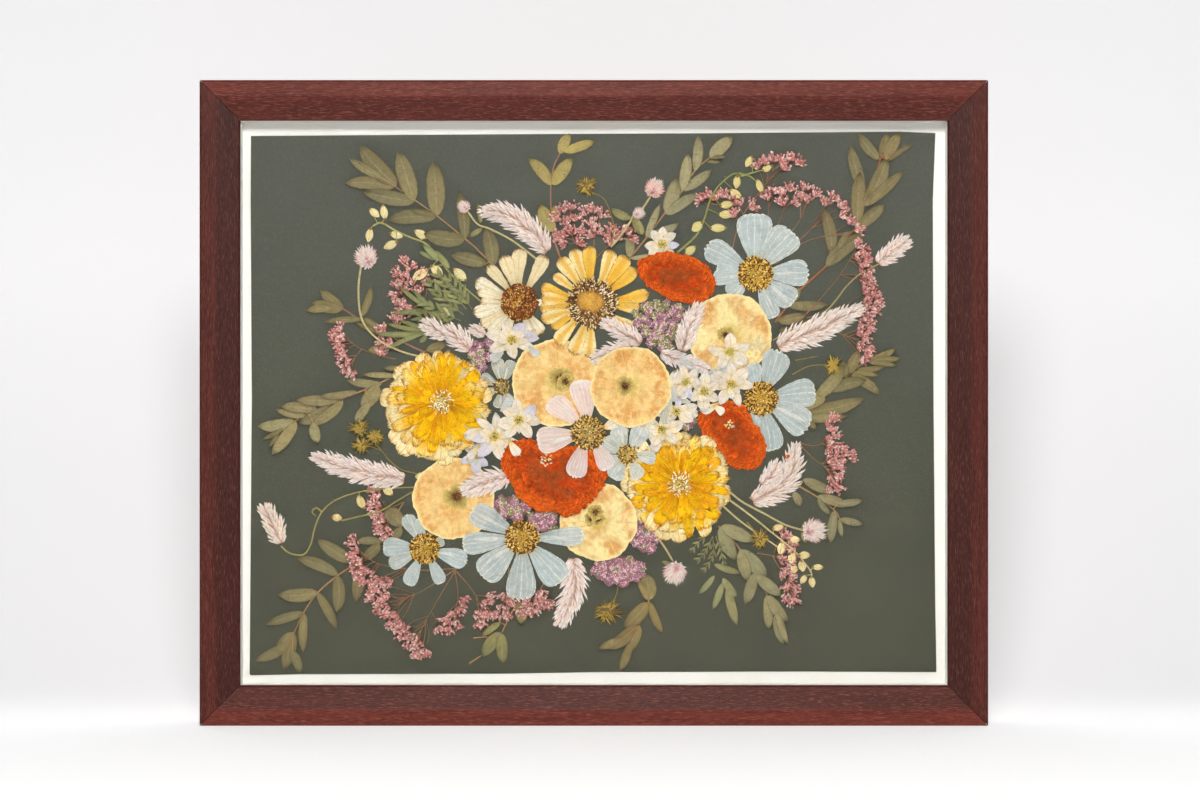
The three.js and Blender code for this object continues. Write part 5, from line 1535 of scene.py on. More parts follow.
def lay_larkspur(name):
    """Two layers of pointed petals under two shorter ones, round a small yellow heart."""
    middle, reach_x, reach_y, angles, lavender = LARKSPUR[name]
    piece = Piece(name, "white_petal")
    dice = piece.dice
    plain = "blue" if name == "larkspur_left_blue" else "cream"
    for order, part, twist in ((0, 1.0, 0.0), (1, 1.0, 0.0), (0, 0.62, 27.0), (1, 0.52, 18.0)):
        for i, degrees in list(enumerate(angles))[order::2]:
            angle = math.radians(degrees + twist + dice.uniform(-6, 6))
            part_x, part_y = 1.08 * part * reach_x, 1.08 * part * reach_y
            tip = (middle[0] + part_x * math.cos(angle), middle[1] + part_y * math.sin(angle))
            length = math.hypot(tip[0] - middle[0], tip[1] - middle[1])
            shade = LARKSPUR_LOOKS["lavender" if i in lavender and part == 1.0 else plain]
            blade(piece, "larkspur_petal", toward(middle, math.degrees(angle), 1), tip,
                  min(length * 0.54, 8) * dice.uniform(0.8, 1.2), POINTED_PETAL, varied(shade, dice, 0.07),
                  dice.uniform(-0.08, 0.08), 0.9, gap=0.25, edge=0.7, curl=1.0, wave=0.35, waves=2, rib=-0.2,
                  pleat=0.2, pleats=3, crumple=0.3, size=4)
    heart = picked(dice, [(colour(190, 178, 70), 4), (colour(226, 190, 90), 2),
                          (colour(150, 128, 56), 2)], 26)
    grains = scattered(dice, middle, 3.0, 3.0, 26)
    beads(piece, "grain", grains, 1.7, 0.8, dice.uniform(0, TURN, 26), 0.7, heart)
    return piece


# Petals that lie loose under the white florets (foot across, foot up, tip across, tip up, width)
FALLEN = [
    (49, -8, 52, 15, 13), (58, 4, 60, 25, 10), (64, 8, 70, 24, 9), (72, 16, 90, 22, 8), (68, 0, 52, 9, 9),
    (84, 20, 100, 25, 7), (42, -10, 31, -24, 8), (60, -12, 74, -5, 8), (45, -2, 38, -14, 8),
    (88, 0, 74, -6, 7), (84, -2, 92, -8, 6), (50, -26, 40, -34, 7), (70, 26, 60, 33, 6),
    (-78, -18, -92, -26, 7), (-60, -26, -52, -38, 7), (-66, -6, -58, 4, 6), (-64, 36, -74, 30, 7),
    (-46, 40, -38, 33, 6), (-80, -30, -90, -42, 6), (70, 14, 58, 4, 9), (74, 24, 66, 14, 8),
    (88, 10, 80, 20, 8), (60, -2, 70, -12, 9), (6, -18, 18, -12, 9), (12, -24, 24, -16, 9),
    (38, -16, 46, -28, 8), (80, 2, 70, 10, 8),
]


def lay_fallen(name):
    """Petals that have come loose, under the white florets."""
    piece = Piece(name, "white_petal")
    dice = piece.dice
    for across, up, tip_across, tip_up, width in FALLEN:
        tint = LARKSPUR_LOOKS["cream" if dice.random() < 0.6 else "blue"]
        blade(piece, "larkspur_petal", (across, up), (tip_across, tip_up), width, COSMOS_PETAL,
              varied(tint, dice, 0.06), dice.uniform(-0.08, 0.08), 0.9, notched(dice, 0.2), gap=0.6,
              edge=0.5, curl=0.6, wave=0.35, waves=2, pleat=0.2, pleats=4, crumple=0.3, size=5)
    return piece


def lay_loose_petals(name):
    """A grey see-through petal and dry calyx bits that lie loose between the blooms."""
    piece = Piece(name, "white_petal")
    dice = piece.dice
    grey = [(0, colour(200, 196, 176)), (1, colour(214, 212, 200))]
    blade(piece, "cosmos_petal", (50, -15), (52, 15), 13, COSMOS_PETAL, grey, 0.05, 0.95, notched(dice, 0.12),
          edge=0.3, curl=0.3, pleat=0.1, pleats=4, crumple=0.1, size=8)
    for degrees, length in ((20, 7), (75, 8), (140, 7), (200, 6), (260, 7), (320, 6)):
        blade(piece, "zinnia_pale_petal", toward((115, 40), degrees, 0.5),
              toward((115, 40), degrees, length), 2.6, POINTED_PETAL,
              varied(colour(226, 208, 160), dice), 0.05, edge=0.3, curl=0.8, crumple=0.1)
    blade(piece, "zinnia_pale_petal", (109, 57), (113, 61), 3, POINTED_PETAL, colour(226, 206, 158),
          curl=0.5)
    blade(piece, "marigold_petal", (134, -39), (138, -37), 2.5, RUFFLE, colour(196, 84, 24), curl=0.5)
    return piece


LOOSE_STEMS = [
    ([(-85, -166), (-75, -165)], TWIG), ([(-88, -184), (-79, -178)], TWIG),
    ([(201, 98), (188, 91), (178, 82), (172, 74), (165, 66), (155, 60), (140, 52), (126, 44)], STRAW),
]


def lay_loose_leaves(name):
    """Leaves and bits of stem that lie by themselves."""
    piece = Piece(name, "dry_leaf")
    for leaf in LOOSE_LEAVES:
        lay_leaf(piece, leaf, OLIVE)
    for line, tint in LOOSE_STEMS:
        stem(piece, line, 1.2, tint)
    return piece


# Who lays what, by the first word of a piece's name or by the whole name
LAYERS = {
    "sprig": lay_sprig, "statice": lay_statice, "pods": lay_pods, "foliage": lay_foliage,
    "amaranth": lay_amaranth, "wisp": lay_wisp, "plume": lay_plume, "cosmos": lay_cosmos,
    "poppy": lay_poppy, "marigold": lay_marigold, "yarrow": lay_yarrow, "larkspur": lay_larkspur,
    "zinnia": lay_double_zinnia, "zinnia_cream": lay_zinnia_cream, "zinnia_ochre": lay_zinnia_ochre,
    "loose_leaves": lay_loose_leaves, "loose_petals": lay_loose_petals, "fallen": lay_fallen,
}
# Every specimen, from the sheet up
ORDER = [
    *SPRIGS, "loose_leaves", *STATICE, *POD_STEMS, *FOLIAGE, *AMARANTH_STEMS, *WISPS,
    "plume_top", "plume_right", "plume_left", "plume_far_left", "plume_low", "plume_low_right",
    "plume_far_right", "plume_small_right", "plume_small_left_top", "plume_small_left",
    "plume_small_left_low", "cosmos_top_right", "cosmos_low_left", "poppy_low_left", "poppy_right",
    "cosmos_right", "marigold_right", "yarrow_small_left", "zinnia_cream", "cosmos_small",
    "larkspur_left_top", "poppy_left", "larkspur_left_blue", "zinnia_yellow_left", "zinnia_ochre",
    "larkspur_left_low", "larkspur_left", "larkspur_top", "yarrow_top", "marigold_top",
    "plume_centre", "plume_small_centre", "plume_small_centre_low", "plume_small_middle",
    "plume_small_low", "yarrow_low", "yarrow_low_right", "yarrow_small_low", "yarrow_small_right",
    "zinnia_yellow_right", "poppy_low_right", "marigold_middle", "cosmos_low", "fallen_petals",
    "larkspur_right_top", "larkspur_right", "larkspur_middle_right", "larkspur_middle",
    "larkspur_middle_low", "larkspur_centre", "loose_petals", "cosmos_centre", "cosmos_blush",
    "poppy_centre",
]


def lay(name):
    """One specimen, laid by whoever lays its kind."""
    return LAYERS.get(name, LAYERS.get(name.split("_")[0]))(name)


# ---------------------------------------------------------------------------------------------
# Shader building
# ---------------------------------------------------------------------------------------------

def put(tree, kind, inputs=None, **settings):
    """A new shader node with its settings, and its inputs set to numbers or joined to outputs."""
    node = tree.nodes.new("ShaderNode" + kind)
    for name, value in settings.items():
        setattr(node, name, value)
    for key, value in (inputs or {}).items():
        socket = node.inputs[key]
        if isinstance(value, bpy.types.NodeSocket):
            tree.links.new(value, socket)
        else:
            socket.default_value = value
    return node


def sums(tree, operation, a, b=0.0, clamp=False):
    """The result of a sum on numbers or outputs."""
    return put(tree, "Math", {0: a, 1: b}, operation=operation, use_clamp=clamp).outputs[0]


def mixed(tree, part, a, b):
    """Colour a, turning into colour b as the part goes from 0 to 1."""
    return put(tree, "Mix", {0: part, 6: a, 7: b}, data_type="RGBA").outputs[2]


def rising(tree, value, low, high):
    """0 below low, 1 above high, and a smooth rise between them."""
    node = put(tree, "MapRange", {"Value": value, "From Min": low, "From Max": high},
               interpolation_type="SMOOTHSTEP")
    return node.outputs["Result"]


def cloud(tree, place, per_millimetre, detail=3.0, roughness=0.5):
    """Soft noise with so many swells to a millimetre."""
    inputs = {"Vector": place, "Scale": per_millimetre / MM, "Detail": detail, "Roughness": roughness}
    return put(tree, "TexNoise", inputs).outputs["Fac"]


def object_place(tree):
    """The place on the piece itself, in metres."""
    return put(tree, "TexCoord").outputs["Object"]


def new_group(name, inputs, outputs):
    """A node group with named inputs and outputs, and what its inputs bring."""
    tree = bpy.data.node_groups.new(name, "ShaderNodeTree")
    for label, value in inputs.items():
        kind = "NodeSocketColor" if isinstance(value, tuple) else "NodeSocketFloat"
        socket = tree.interface.new_socket(name=label, in_out="INPUT", socket_type=kind)
        socket.default_value = value
    for label, kind in outputs.items():
        tree.interface.new_socket(name=label, in_out="OUTPUT", socket_type=kind)
    return tree, tree.nodes.new("NodeGroupInput").outputs


def give(tree, results):
    """Joins what a group works out to its outputs."""
    end = tree.nodes.new("NodeGroupOutput")
    for label, socket in results.items():
        tree.links.new(socket, end.inputs[label])


def grouped(tree, group, values):
    """Places a group with its own values, and gives what it puts out."""
    node = tree.nodes.new("ShaderNodeGroup")
    node.node_tree = group
    for label, value in values.items():
        if isinstance(value, bpy.types.NodeSocket):
            tree.links.new(value, node.inputs[label])
        else:
            node.inputs[label].default_value = value
    return node.outputs


def new_material(name):
    """A new material, its nodes and its shader."""
    material = bpy.data.materials.new(name)
    material.use_nodes = True
    return material, material.node_tree, material.node_tree.nodes["Principled BSDF"]


def finish(tree, shader, base, height, roughness, bump=0.5, depth=0.3, specular=0.3):
    """Joins colour and relief to the shader. The depth of the relief is in millimetres."""
    tree.links.new(base, shader.inputs["Base Color"])
    if isinstance(roughness, bpy.types.NodeSocket):
        tree.links.new(roughness, shader.inputs["Roughness"])
    else:
        shader.inputs["Roughness"].default_value = roughness
    shader.inputs["Specular IOR Level"].default_value = specular
    relief = put(tree, "Bump", {"Strength": bump, "Distance": depth * MM, "Height": height})
    tree.links.new(relief.outputs["Normal"], shader.inputs["Normal"])


# ---------------------------------------------------------------------------------------------
# The tissue that all the pressed parts share
# ---------------------------------------------------------------------------------------------

WHITE = (1.0, 1.0, 1.0, 1.0)
TISSUE = {
    "Mottle": 0.25, "Edge Colour": WHITE, "Edge Width": 0.12, "Edge Strength": 0.0,
    "Rib Colour": WHITE, "Rib Width": 0.16, "Rib Strength": 0.0,
    "Vein Colour": WHITE, "Vein Count": 8.0, "Vein Strength": 0.0,
    "Blotch Colour": WHITE, "Blotch Strength": 0.0, "Blotch Size": 6.0,
    "Fleck Colour": WHITE, "Fleck Strength": 0.0, "Fleck Size": 1.0,
}


def tissue_group():
    """Dried plant tissue over the tint of each part: mottling, lengthwise veins, a middle rib, an edge of its
    own colour, blotches and flecks. The edge is a discoloured edge on petals and pods, but painted shade on
    leaves and statice buds, whose pale veins are a painted highlight."""
    tree, given = new_group("dried_tissue", TISSUE, {
        "Colour": "NodeSocketColor", "Height": "NodeSocketFloat", "Veins": "NodeSocketFloat",
        "Edge": "NodeSocketFloat",
    })
    grow = put(tree, "Attribute", attribute_name="grow").outputs["Vector"]
    tint = put(tree, "Attribute", attribute_name="tint").outputs["Color"]
    axes = put(tree, "SeparateXYZ", {0: grow}).outputs
    lot = put(tree, "CombineXYZ", {0: axes[2], 1: axes[2], 2: axes[2]}).outputs[0]
    place = put(tree, "VectorMath", {0: object_place(tree), 1: lot}, operation="ADD").outputs[0]
    side = sums(tree, "ABSOLUTE", axes[1])
    fray = sums(tree, "MULTIPLY", sums(tree, "SUBTRACT", cloud(tree, place, 0.5), 0.5), 0.35)
    edge_from = sums(tree, "SUBTRACT", 1.0, given["Edge Width"])
    side_edge = rising(tree, sums(tree, "ADD", side, fray), edge_from, 1.0)
    tip_edge = rising(tree, sums(tree, "ADD", axes[0], sums(tree, "MULTIPLY", fray, 0.5)), edge_from, 1.0)
    edge = sums(tree, "MAXIMUM", side_edge, tip_edge)
    warp = sums(tree, "MULTIPLY", sums(tree, "SUBTRACT", cloud(tree, place, 0.18, 2.0), 0.5), 3.0)
    turns = sums(tree, "MULTIPLY", sums(tree, "MULTIPLY", axes[1], given["Vein Count"]), math.pi)
    wave = sums(tree, "COSINE", sums(tree, "ADD", turns, warp))
    veins = sums(tree, "MULTIPLY", rising(tree, wave, 0.72, 1.0),
                 rising(tree, cloud(tree, place, 0.6, 2.0), 0.3, 0.62))
    rib_from = sums(tree, "ADD", given["Rib Width"], fray)
    rib = rising(tree, side, rib_from, sums(tree, "MULTIPLY", rib_from, 0.3))
    blotch_scale = sums(tree, "DIVIDE", 1 / MM, given["Blotch Size"])
    blotches = put(tree, "TexNoise", {"Vector": place, "Scale": blotch_scale, "Detail": 3.0,
                                      "Roughness": 0.6})
    blotch = rising(tree, blotches.outputs["Fac"], 0.5, 0.66)
    fleck_scale = sums(tree, "DIVIDE", 0.5 / MM, given["Fleck Size"])
    flecks = put(tree, "TexNoise", {"Vector": place, "Scale": fleck_scale, "Detail": 1.0})
    fleck = rising(tree, flecks.outputs["Fac"], 0.66, 0.72)
    broad = cloud(tree, place, 0.25, 4.0, 0.6)
    fine = cloud(tree, place, 1.3, 3.0, 0.6)
    shade = sums(tree, "ADD", sums(tree, "SUBTRACT", broad, 0.5), sums(tree, "SUBTRACT", fine, 0.5))
    mottle = sums(tree, "MULTIPLY", given["Mottle"], 2.5)
    light = sums(tree, "ADD", 1.0, sums(tree, "MULTIPLY", shade, mottle))
    base = put(tree, "VectorMath", {0: tint, "Scale": light}, operation="SCALE").outputs[0]
    masks = {"Blotch": blotch, "Vein": veins, "Rib": rib, "Edge": edge, "Fleck": fleck}
    for label, mask in masks.items():
        part = sums(tree, "MULTIPLY", mask, given[label + " Strength"], True)
        base = mixed(tree, part, base, given[label + " Colour"])
    height = sums(tree, "ADD", sums(tree, "MULTIPLY", veins, 0.5), sums(tree, "MULTIPLY", fine, 0.6))
    height = sums(tree, "ADD", height, sums(tree, "MULTIPLY", broad, 0.8))
    give(tree, {"Colour": base, "Height": height, "Veins": veins, "Edge": edge})
    return tree


def tissue(name, values, roughness=0.75, bump=0.6, depth=0.35, specular=0.25, thin=None):
    """A material of dried tissue. Thin is how solid it is between its veins, where it is see-through."""
    material, tree, shader = new_material(name)
    out = grouped(tree, GROUPS["tissue"], values)
    finish(tree, shader, out["Colour"], out["Height"], roughness, bump, depth, specular)
    if thin is not None:
        solid = sums(tree, "MAXIMUM", out["Veins"], out["Edge"])
        cover = sums(tree, "ADD", sums(tree, "MULTIPLY", solid, (1 - thin) * 0.7), thin, True)
        tree.links.new(cover, shader.inputs["Alpha"])
    return material


# A mark's measure is the width of an edge or a rib, the count of veins, or the size of blotches or flecks
MEASURES = {"Edge": "Width", "Rib": "Width", "Vein": "Count", "Blotch": "Size", "Fleck": "Size"}
# Each look: its material's name, how mottled it is, its marks (tint, strength, measure), and its finish
LOOKS = {
    # The leaf's dark edge is painted shade: it stands in for the thin shadows round the leaves' lifted edges.
    "leaf": ("dried_leaf", 0.24, dict(
        Edge=(colour(82, 70, 42), 0.75, 0.2), Rib=(colour(166, 152, 104), 0.35, 0.1),
        Vein=(colour(112, 104, 68), 0.15, 4.0), Blotch=(colour(122, 108, 66), 0.35, 5.0),
        Fleck=(colour(66, 52, 32), 0.6, 0.65)), dict(roughness=0.62, depth=0.25, specular=0.4)),
    "cosmos_petal": ("cosmos_petal", 0.22, dict(
        Edge=(colour(240, 236, 216), 0.8, 0.05), Rib=(colour(244, 242, 226), 0.5, 0.06),
        Vein=(colour(238, 236, 220), 0.24, 5.0), Blotch=(colour(184, 198, 201), 0.5, 9.0),
        Fleck=(colour(168, 134, 88), 0.25, 0.8)), dict(roughness=0.6, thin=0.68)),
    "cosmos_blush_petal": ("blushed_cosmos_petal", 0.12, dict(
        Edge=(colour(246, 236, 226), 0.6, 0.1), Vein=(colour(248, 240, 232), 0.6, 6.0),
        Blotch=(colour(228, 190, 178), 0.5, 8.0)), dict(roughness=0.6, thin=0.78)),
    "larkspur_petal": ("larkspur_petal", 0.26, dict(
        Edge=(colour(226, 204, 160), 0.45, 0.1), Rib=(colour(228, 196, 138), 0.5, 0.16),
        Vein=(colour(224, 196, 146), 0.5, 4.0), Blotch=(colour(220, 208, 204), 0.35, 4.0),
        Fleck=(colour(176, 138, 84), 0.3, 0.8)), dict(bump=0.9, depth=0.5, thin=0.93)),
    "zinnia_pale_petal": ("cream_zinnia_petal", 0.24, dict(
        Edge=(colour(146, 98, 44), 0.85, 0.1), Rib=(colour(206, 168, 100), 0.35, 0.16),
        Vein=(colour(210, 178, 116), 0.45, 3.0), Blotch=(colour(206, 174, 110), 0.3, 4.0),
        Fleck=(BROWN, 0.25, 0.9)), {}),
    "zinnia_ochre_petal": ("ochre_zinnia_petal", 0.24, dict(
        Edge=(colour(150, 100, 44), 0.75, 0.1), Rib=(colour(222, 168, 58), 0.8, 0.6),
        Vein=(colour(232, 204, 130), 0.45, 3.0), Blotch=(colour(226, 174, 60), 0.5, 4.0),
        Fleck=(BROWN, 0.35, 0.9)), {}),
    "zinnia_double_outer": ("double_zinnia_outer_petal", 0.22, dict(
        Edge=(colour(164, 116, 52), 0.7, 0.06), Rib=(colour(224, 180, 88), 0.4, 0.16),
        Vein=(colour(214, 170, 84), 0.5, 3.0), Blotch=(colour(232, 190, 90), 0.5, 4.0),
        Fleck=(BROWN, 0.3, 0.8)), {}),
    "zinnia_double_ray": ("double_zinnia_ray", 0.28, dict(
        Edge=(colour(166, 96, 8), 0.6, 0.09), Rib=(colour(248, 208, 50), 0.4, 0.16),
        Vein=(colour(196, 118, 4), 0.6, 4.0), Blotch=(colour(232, 152, 4), 0.6, 5.0),
        Fleck=(colour(128, 74, 14), 0.45, 0.9)), dict(bump=0.9, depth=0.6, specular=0.12)),
    "poppy_petal": ("poppy_petal", 0.22, dict(
        Vein=(colour(252, 232, 184), 0.35, 24.0), Blotch=(colour(248, 222, 164), 0.5, 4.0),
        Fleck=(colour(186, 120, 60), 0.35, 1.0)), dict(roughness=0.7, bump=1.0, depth=0.7)),
    "marigold_petal": ("marigold_petal", 0.35, dict(
        Edge=(colour(238, 124, 36), 0.45, 0.2), Vein=(colour(140, 44, 12), 0.35, 3.0),
        Blotch=(colour(164, 60, 18), 0.4, 6.0), Fleck=(colour(104, 34, 12), 0.5, 0.7)),
        dict(roughness=0.7, bump=0.9, depth=0.6, specular=0.12)),
    "marigold_disc": ("marigold_disc", 0.4, dict(
        Vein=(colour(136, 40, 10), 0.4, 34.0), Blotch=(colour(208, 84, 16), 0.45, 4.0),
        Fleck=(colour(98, 34, 18), 0.6, 0.8)),
        dict(roughness=0.65, bump=1.0, depth=0.9, specular=0.12)),
    "bract": ("papery_bract", 0.14, dict(
        Rib=(colour(248, 240, 236), 0.4, 0.16), Edge=(colour(206, 172, 156), 0.4, 0.16),
        Fleck=(colour(150, 110, 84), 0.2, 0.9)), {}),
    # Statice buds: the pale middle band is a painted highlight, and the dark maroon edge is painted shade
    # between the buds.
    "bud": ("statice_bud", 0.35, dict(
        Edge=(colour(112, 58, 52), 0.5, 0.2), Vein=(colour(236, 190, 178), 0.6, 2.0)),
        dict(depth=0.2)),
    "floret": ("yarrow_floret", 0.35, dict(
        Edge=(colour(112, 76, 80), 0.5, 0.22), Blotch=(colour(150, 130, 96), 0.3, 2.5),
        Fleck=(colour(90, 60, 56), 0.4, 0.7)), dict(depth=0.2)),
    "pod": ("seed_pod", 0.24, dict(
        Edge=(colour(150, 108, 56), 0.85, 0.16), Rib=(colour(176, 136, 74), 0.45, 0.1),
        Vein=(colour(190, 150, 88), 0.4, 4.0), Blotch=(colour(216, 184, 120), 0.5, 3.0)),
        dict(roughness=0.6, bump=0.9, depth=0.6, specular=0.35)),
    "stem": ("dried_stem", 0.3, dict(
        Vein=(colour(206, 170, 120), 0.3, 2.0), Blotch=(colour(112, 76, 44), 0.35, 4.0),
        Fleck=(colour(74, 50, 32), 0.4, 0.7)), dict(roughness=0.65, depth=0.15)),
    "grain": ("flower_heart_grain", 0.35, dict(
        Fleck=(colour(64, 36, 18), 0.4, 0.5), Blotch=(colour(150, 110, 54), 0.2, 2.0)),
        dict(depth=0.2)),
}
made_looks = {}


def look_named(look):
    """The material of a look, made the first time it is asked for."""
    if look not in made_looks:
        name, mottle, marks, finishing = LOOKS[look]
        values = {"Mottle": mottle}
        for label, (tint, strength, measure) in marks.items():
            values[label + " Colour"] = tint
            values[label + " Strength"] = strength
            values[label + " " + MEASURES[label]] = measure
        made_looks[look] = tissue(name, values, **finishing)
    return made_looks[look]


# ---------------------------------------------------------------------------------------------
# Finishes of the frame
# ---------------------------------------------------------------------------------------------

# How far in from its edge the frame's face keeps its stained colour; further in it is painted darker, as
# painted shade of the face's inner slope
PAINTED_SHADE_INSET = 11.0


def wood_group():
    """Stained wood, with its grain running along the rail, painted darker inward of an outer band as painted
    shade, and brightened on the rails across and darkened on the upright ones by Light, as painted light.
    """
    tree, given = new_group(
        "stained_wood", {"Along": 0.0, "Across": 0.0, "Depth": 0.0, "Inward": 0.0, "Light": 1.0},
        {"Colour": "NodeSocketColor", "Height": "NodeSocketFloat", "Roughness": "NodeSocketFloat"})

    def grain(stretch, narrow, detail, seed):
        place = put(tree, "CombineXYZ", {
            0: sums(tree, "MULTIPLY", given["Along"], 1 / stretch / MM),
            1: sums(tree, "MULTIPLY", given["Across"], 1 / narrow / MM),
            2: sums(tree, "ADD", sums(tree, "MULTIPLY", given["Depth"], 1 / narrow / MM), seed),
        }).outputs[0]
        return put(tree, "TexNoise", {"Vector": place, "Scale": 1.0, "Detail": detail,
                                      "Roughness": 0.55}).outputs["Fac"]

    streak = grain(60, 4.0, 3.0, 0.0)
    fibre = grain(11, 0.65, 2.0, 7.3)
    dash = rising(tree, grain(5, 0.5, 1.0, 3.1), 0.52, 0.72)
    pore = rising(tree, grain(5, 0.5, 1.0, 11.7), 0.52, 0.72)
    base = mixed(tree, rising(tree, streak, 0.3, 0.7), colour(88, 34, 26), colour(110, 45, 34))
    fibres = sums(tree, "MULTIPLY", rising(tree, fibre, 0.35, 0.7), 0.55)
    base = mixed(tree, fibres, base, colour(124, 58, 45))
    # Painted shade: inward of the outer band the face is darkened, standing in for its inner slope catching
    # less light.
    outer = rising(tree, given["Inward"], PAINTED_SHADE_INSET + 3.0, PAINTED_SHADE_INSET - 2.0)
    base = mixed(tree, outer, mixed(tree, 0.55, base, colour(54, 21, 17)), base)
    base = mixed(tree, sums(tree, "MULTIPLY", dash, 0.4), base, colour(164, 98, 80))
    base = mixed(tree, sums(tree, "MULTIPLY", pore, 0.55), base, colour(46, 20, 18))
    # Painted light: Light scales the colour, brighter for the rails across and darker for the upright ones.
    base = put(tree, "VectorMath", {0: base, "Scale": given["Light"]}, operation="SCALE").outputs[0]
    height = sums(tree, "SUBTRACT", sums(tree, "MULTIPLY", fibre, 0.5),
                  sums(tree, "MULTIPLY", pore, 0.5))
    rough = sums(tree, "ADD", 0.36, sums(tree, "MULTIPLY", fibre, 0.2))
    give(tree, {"Colour": base, "Height": height, "Roughness": rough})
    return tree


def wood_finish(name, upright):
    """Stained wood for two of the rails. How far inward a point is comes from its place in the frame. Its
    Light value is painted light: brighter on the rails across, darker on the upright ones, as the lamp
    catches their grain differently.
    """
    material, tree, shader = new_material(name)
    axes = put(tree, "SeparateXYZ", {0: object_place(tree)}).outputs
    height = sums(tree, "SUBTRACT", axes[2], MIDDLE_Z * MM)
    across, up = sums(tree, "ABSOLUTE", axes[0]), sums(tree, "ABSOLUTE", height)
    inward = sums(tree, "SUBTRACT", (cad_high.x if upright else MIDDLE_Z * MM) / MM,
                  sums(tree, "DIVIDE", across if upright else up, MM))
    # Light is painted light: 1.3 brightens the rails across, 0.77 darkens the upright ones.
    values = {"Along": axes[2] if upright else axes[0], "Across": axes[0] if upright else axes[2],
              "Depth": axes[1], "Inward": inward, "Light": 0.77 if upright else 1.3}
    out = grouped(tree, GROUPS["wood"], values)
    finish(tree, shader, out["Colour"], out["Height"], out["Roughness"], 0.5, 0.12, 0.22)
    return material


def weave_group():
    """Fine plain weave: threads across and up, a little uneven."""
    tree, given = new_group("fine_weave", {"Threads": 1.6}, {"Height": "NodeSocketFloat"})
    axes = put(tree, "SeparateXYZ", {0: object_place(tree)}).outputs
    place = object_place(tree)
    wander = sums(tree, "MULTIPLY", cloud(tree, place, 0.08, 2.0), 3.0)
    threads = sums(tree, "MULTIPLY", given["Threads"], math.pi / MM)
    rows = sums(tree, "SINE", sums(tree, "ADD", sums(tree, "MULTIPLY", axes[2], threads), wander))
    columns = sums(tree, "SINE", sums(tree, "ADD", sums(tree, "MULTIPLY", axes[0], threads), wander))
    give(tree, {"Height": sums(tree, "MULTIPLY", rows, columns)})
    return tree


def green_sheet_finish():
    """Dark green woven paper, painted a little darker towards the bottom as painted shade, with pale specks
    of dust.
    """
    material, tree, shader = new_material("green_woven_sheet")
    place = object_place(tree)
    weave = grouped(tree, GROUPS["weave"], {"Threads": 1.4})["Height"]
    up = put(tree, "SeparateXYZ", {0: place}).outputs[2]
    # Painted shade: the colour darkens towards the bottom of the sheet, where the lamp above lights it less.
    base = mixed(tree, rising(tree, up, 0.03, 0.42), colour(78, 79, 66), colour(86, 88, 81))
    broad = sums(tree, "MULTIPLY", cloud(tree, place, 0.03, 3.0), 0.35)
    base = mixed(tree, broad, base, colour(75, 77, 65))
    nap = sums(tree, "MULTIPLY", rising(tree, cloud(tree, place, 0.9, 2.0), 0.45, 0.7), 0.16)
    base = mixed(tree, nap, base, colour(114, 114, 104))
    cell = put(tree, "TexVoronoi", {"Vector": place, "Scale": 0.05 / MM}).outputs
    near = rising(tree, cell["Distance"], 0.02, 0.008)
    some = rising(tree, put(tree, "SeparateXYZ", {0: cell["Color"]}).outputs[0], 0.55, 0.6)
    specks = sums(tree, "MULTIPLY", sums(tree, "MULTIPLY", near, some), 0.7)
    base = mixed(tree, specks, base, colour(214, 212, 200))
    finish(tree, shader, base, weave, 0.92, 0.35, 0.08, 0.0)
    return material


def board_finish():
    """White cotton board with faint fibres."""
    material, tree, shader = new_material("white_cotton_board")
    place = object_place(tree)
    fibres = cloud(tree, place, 0.8, 4.0, 0.65)
    base = mixed(tree, fibres, colour(243, 240, 234), colour(250, 248, 244))
    warm = sums(tree, "MULTIPLY", rising(tree, cloud(tree, place, 0.02, 2.0), 0.5, 0.7), 0.3)
    base = mixed(tree, warm, base, colour(240, 234, 224))
    finish(tree, shader, base, fibres, 0.85, 0.4, 0.1, 0.2)
    return material


def foam_finish():
    """Pale foam board with small closed cells."""
    material, tree, shader = new_material("foam_board")
    place = object_place(tree)
    cells_seen = put(tree, "TexVoronoi", {"Vector": place, "Scale": 1.4 / MM}).outputs["Distance"]
    base = mixed(tree, cells_seen, colour(232, 229, 222), colour(246, 244, 238))
    finish(tree, shader, base, cells_seen, 0.85, 0.5, 0.15, 0.2)
    return material


def kraft_finish():
    """Brown dust-cover paper: long fibres, a slight mottle and shallow ripples."""
    material, tree, shader = new_material("kraft_paper")
    place = object_place(tree)
    axes = put(tree, "SeparateXYZ", {0: place}).outputs
    along = sums(tree, "MULTIPLY", axes[0], 0.15)
    drawn = put(tree, "CombineXYZ", {0: along, 1: axes[1], 2: axes[2]}).outputs[0]
    fibres = cloud(tree, drawn, 1.2, 3.0, 0.6)
    ripples = cloud(tree, place, 0.012, 2.0)
    base = mixed(tree, cloud(tree, place, 0.05, 4.0), colour(158, 122, 82), colour(182, 146, 102))
    strands = sums(tree, "MULTIPLY", rising(tree, fibres, 0.5, 0.7), 0.35)
    base = mixed(tree, strands, base, colour(134, 98, 62))
    height = sums(tree, "ADD", sums(tree, "MULTIPLY", fibres, 0.1), sums(tree, "MULTIPLY", ripples, 6.0))
    finish(tree, shader, base, height, 0.85, 0.5, 0.4, 0.2)
    return material


def steel_finish():
    """Zinc-coated steel with fine brushing and a few dull spots."""
    material, tree, shader = new_material("zinc_steel")
    place = object_place(tree)
    dull = rising(tree, cloud(tree, place, 0.2, 3.0), 0.45, 0.65)
    base = mixed(tree, dull, colour(196, 198, 202), colour(158, 160, 164))
    shader.inputs["Metallic"].default_value = 1.0
    rough = sums(tree, "ADD", 0.28, sums(tree, "MULTIPLY", dull, 0.25))
    finish(tree, shader, base, cloud(tree, place, 2.0, 3.0), rough, 0.3, 0.05, 0.5)
    return material


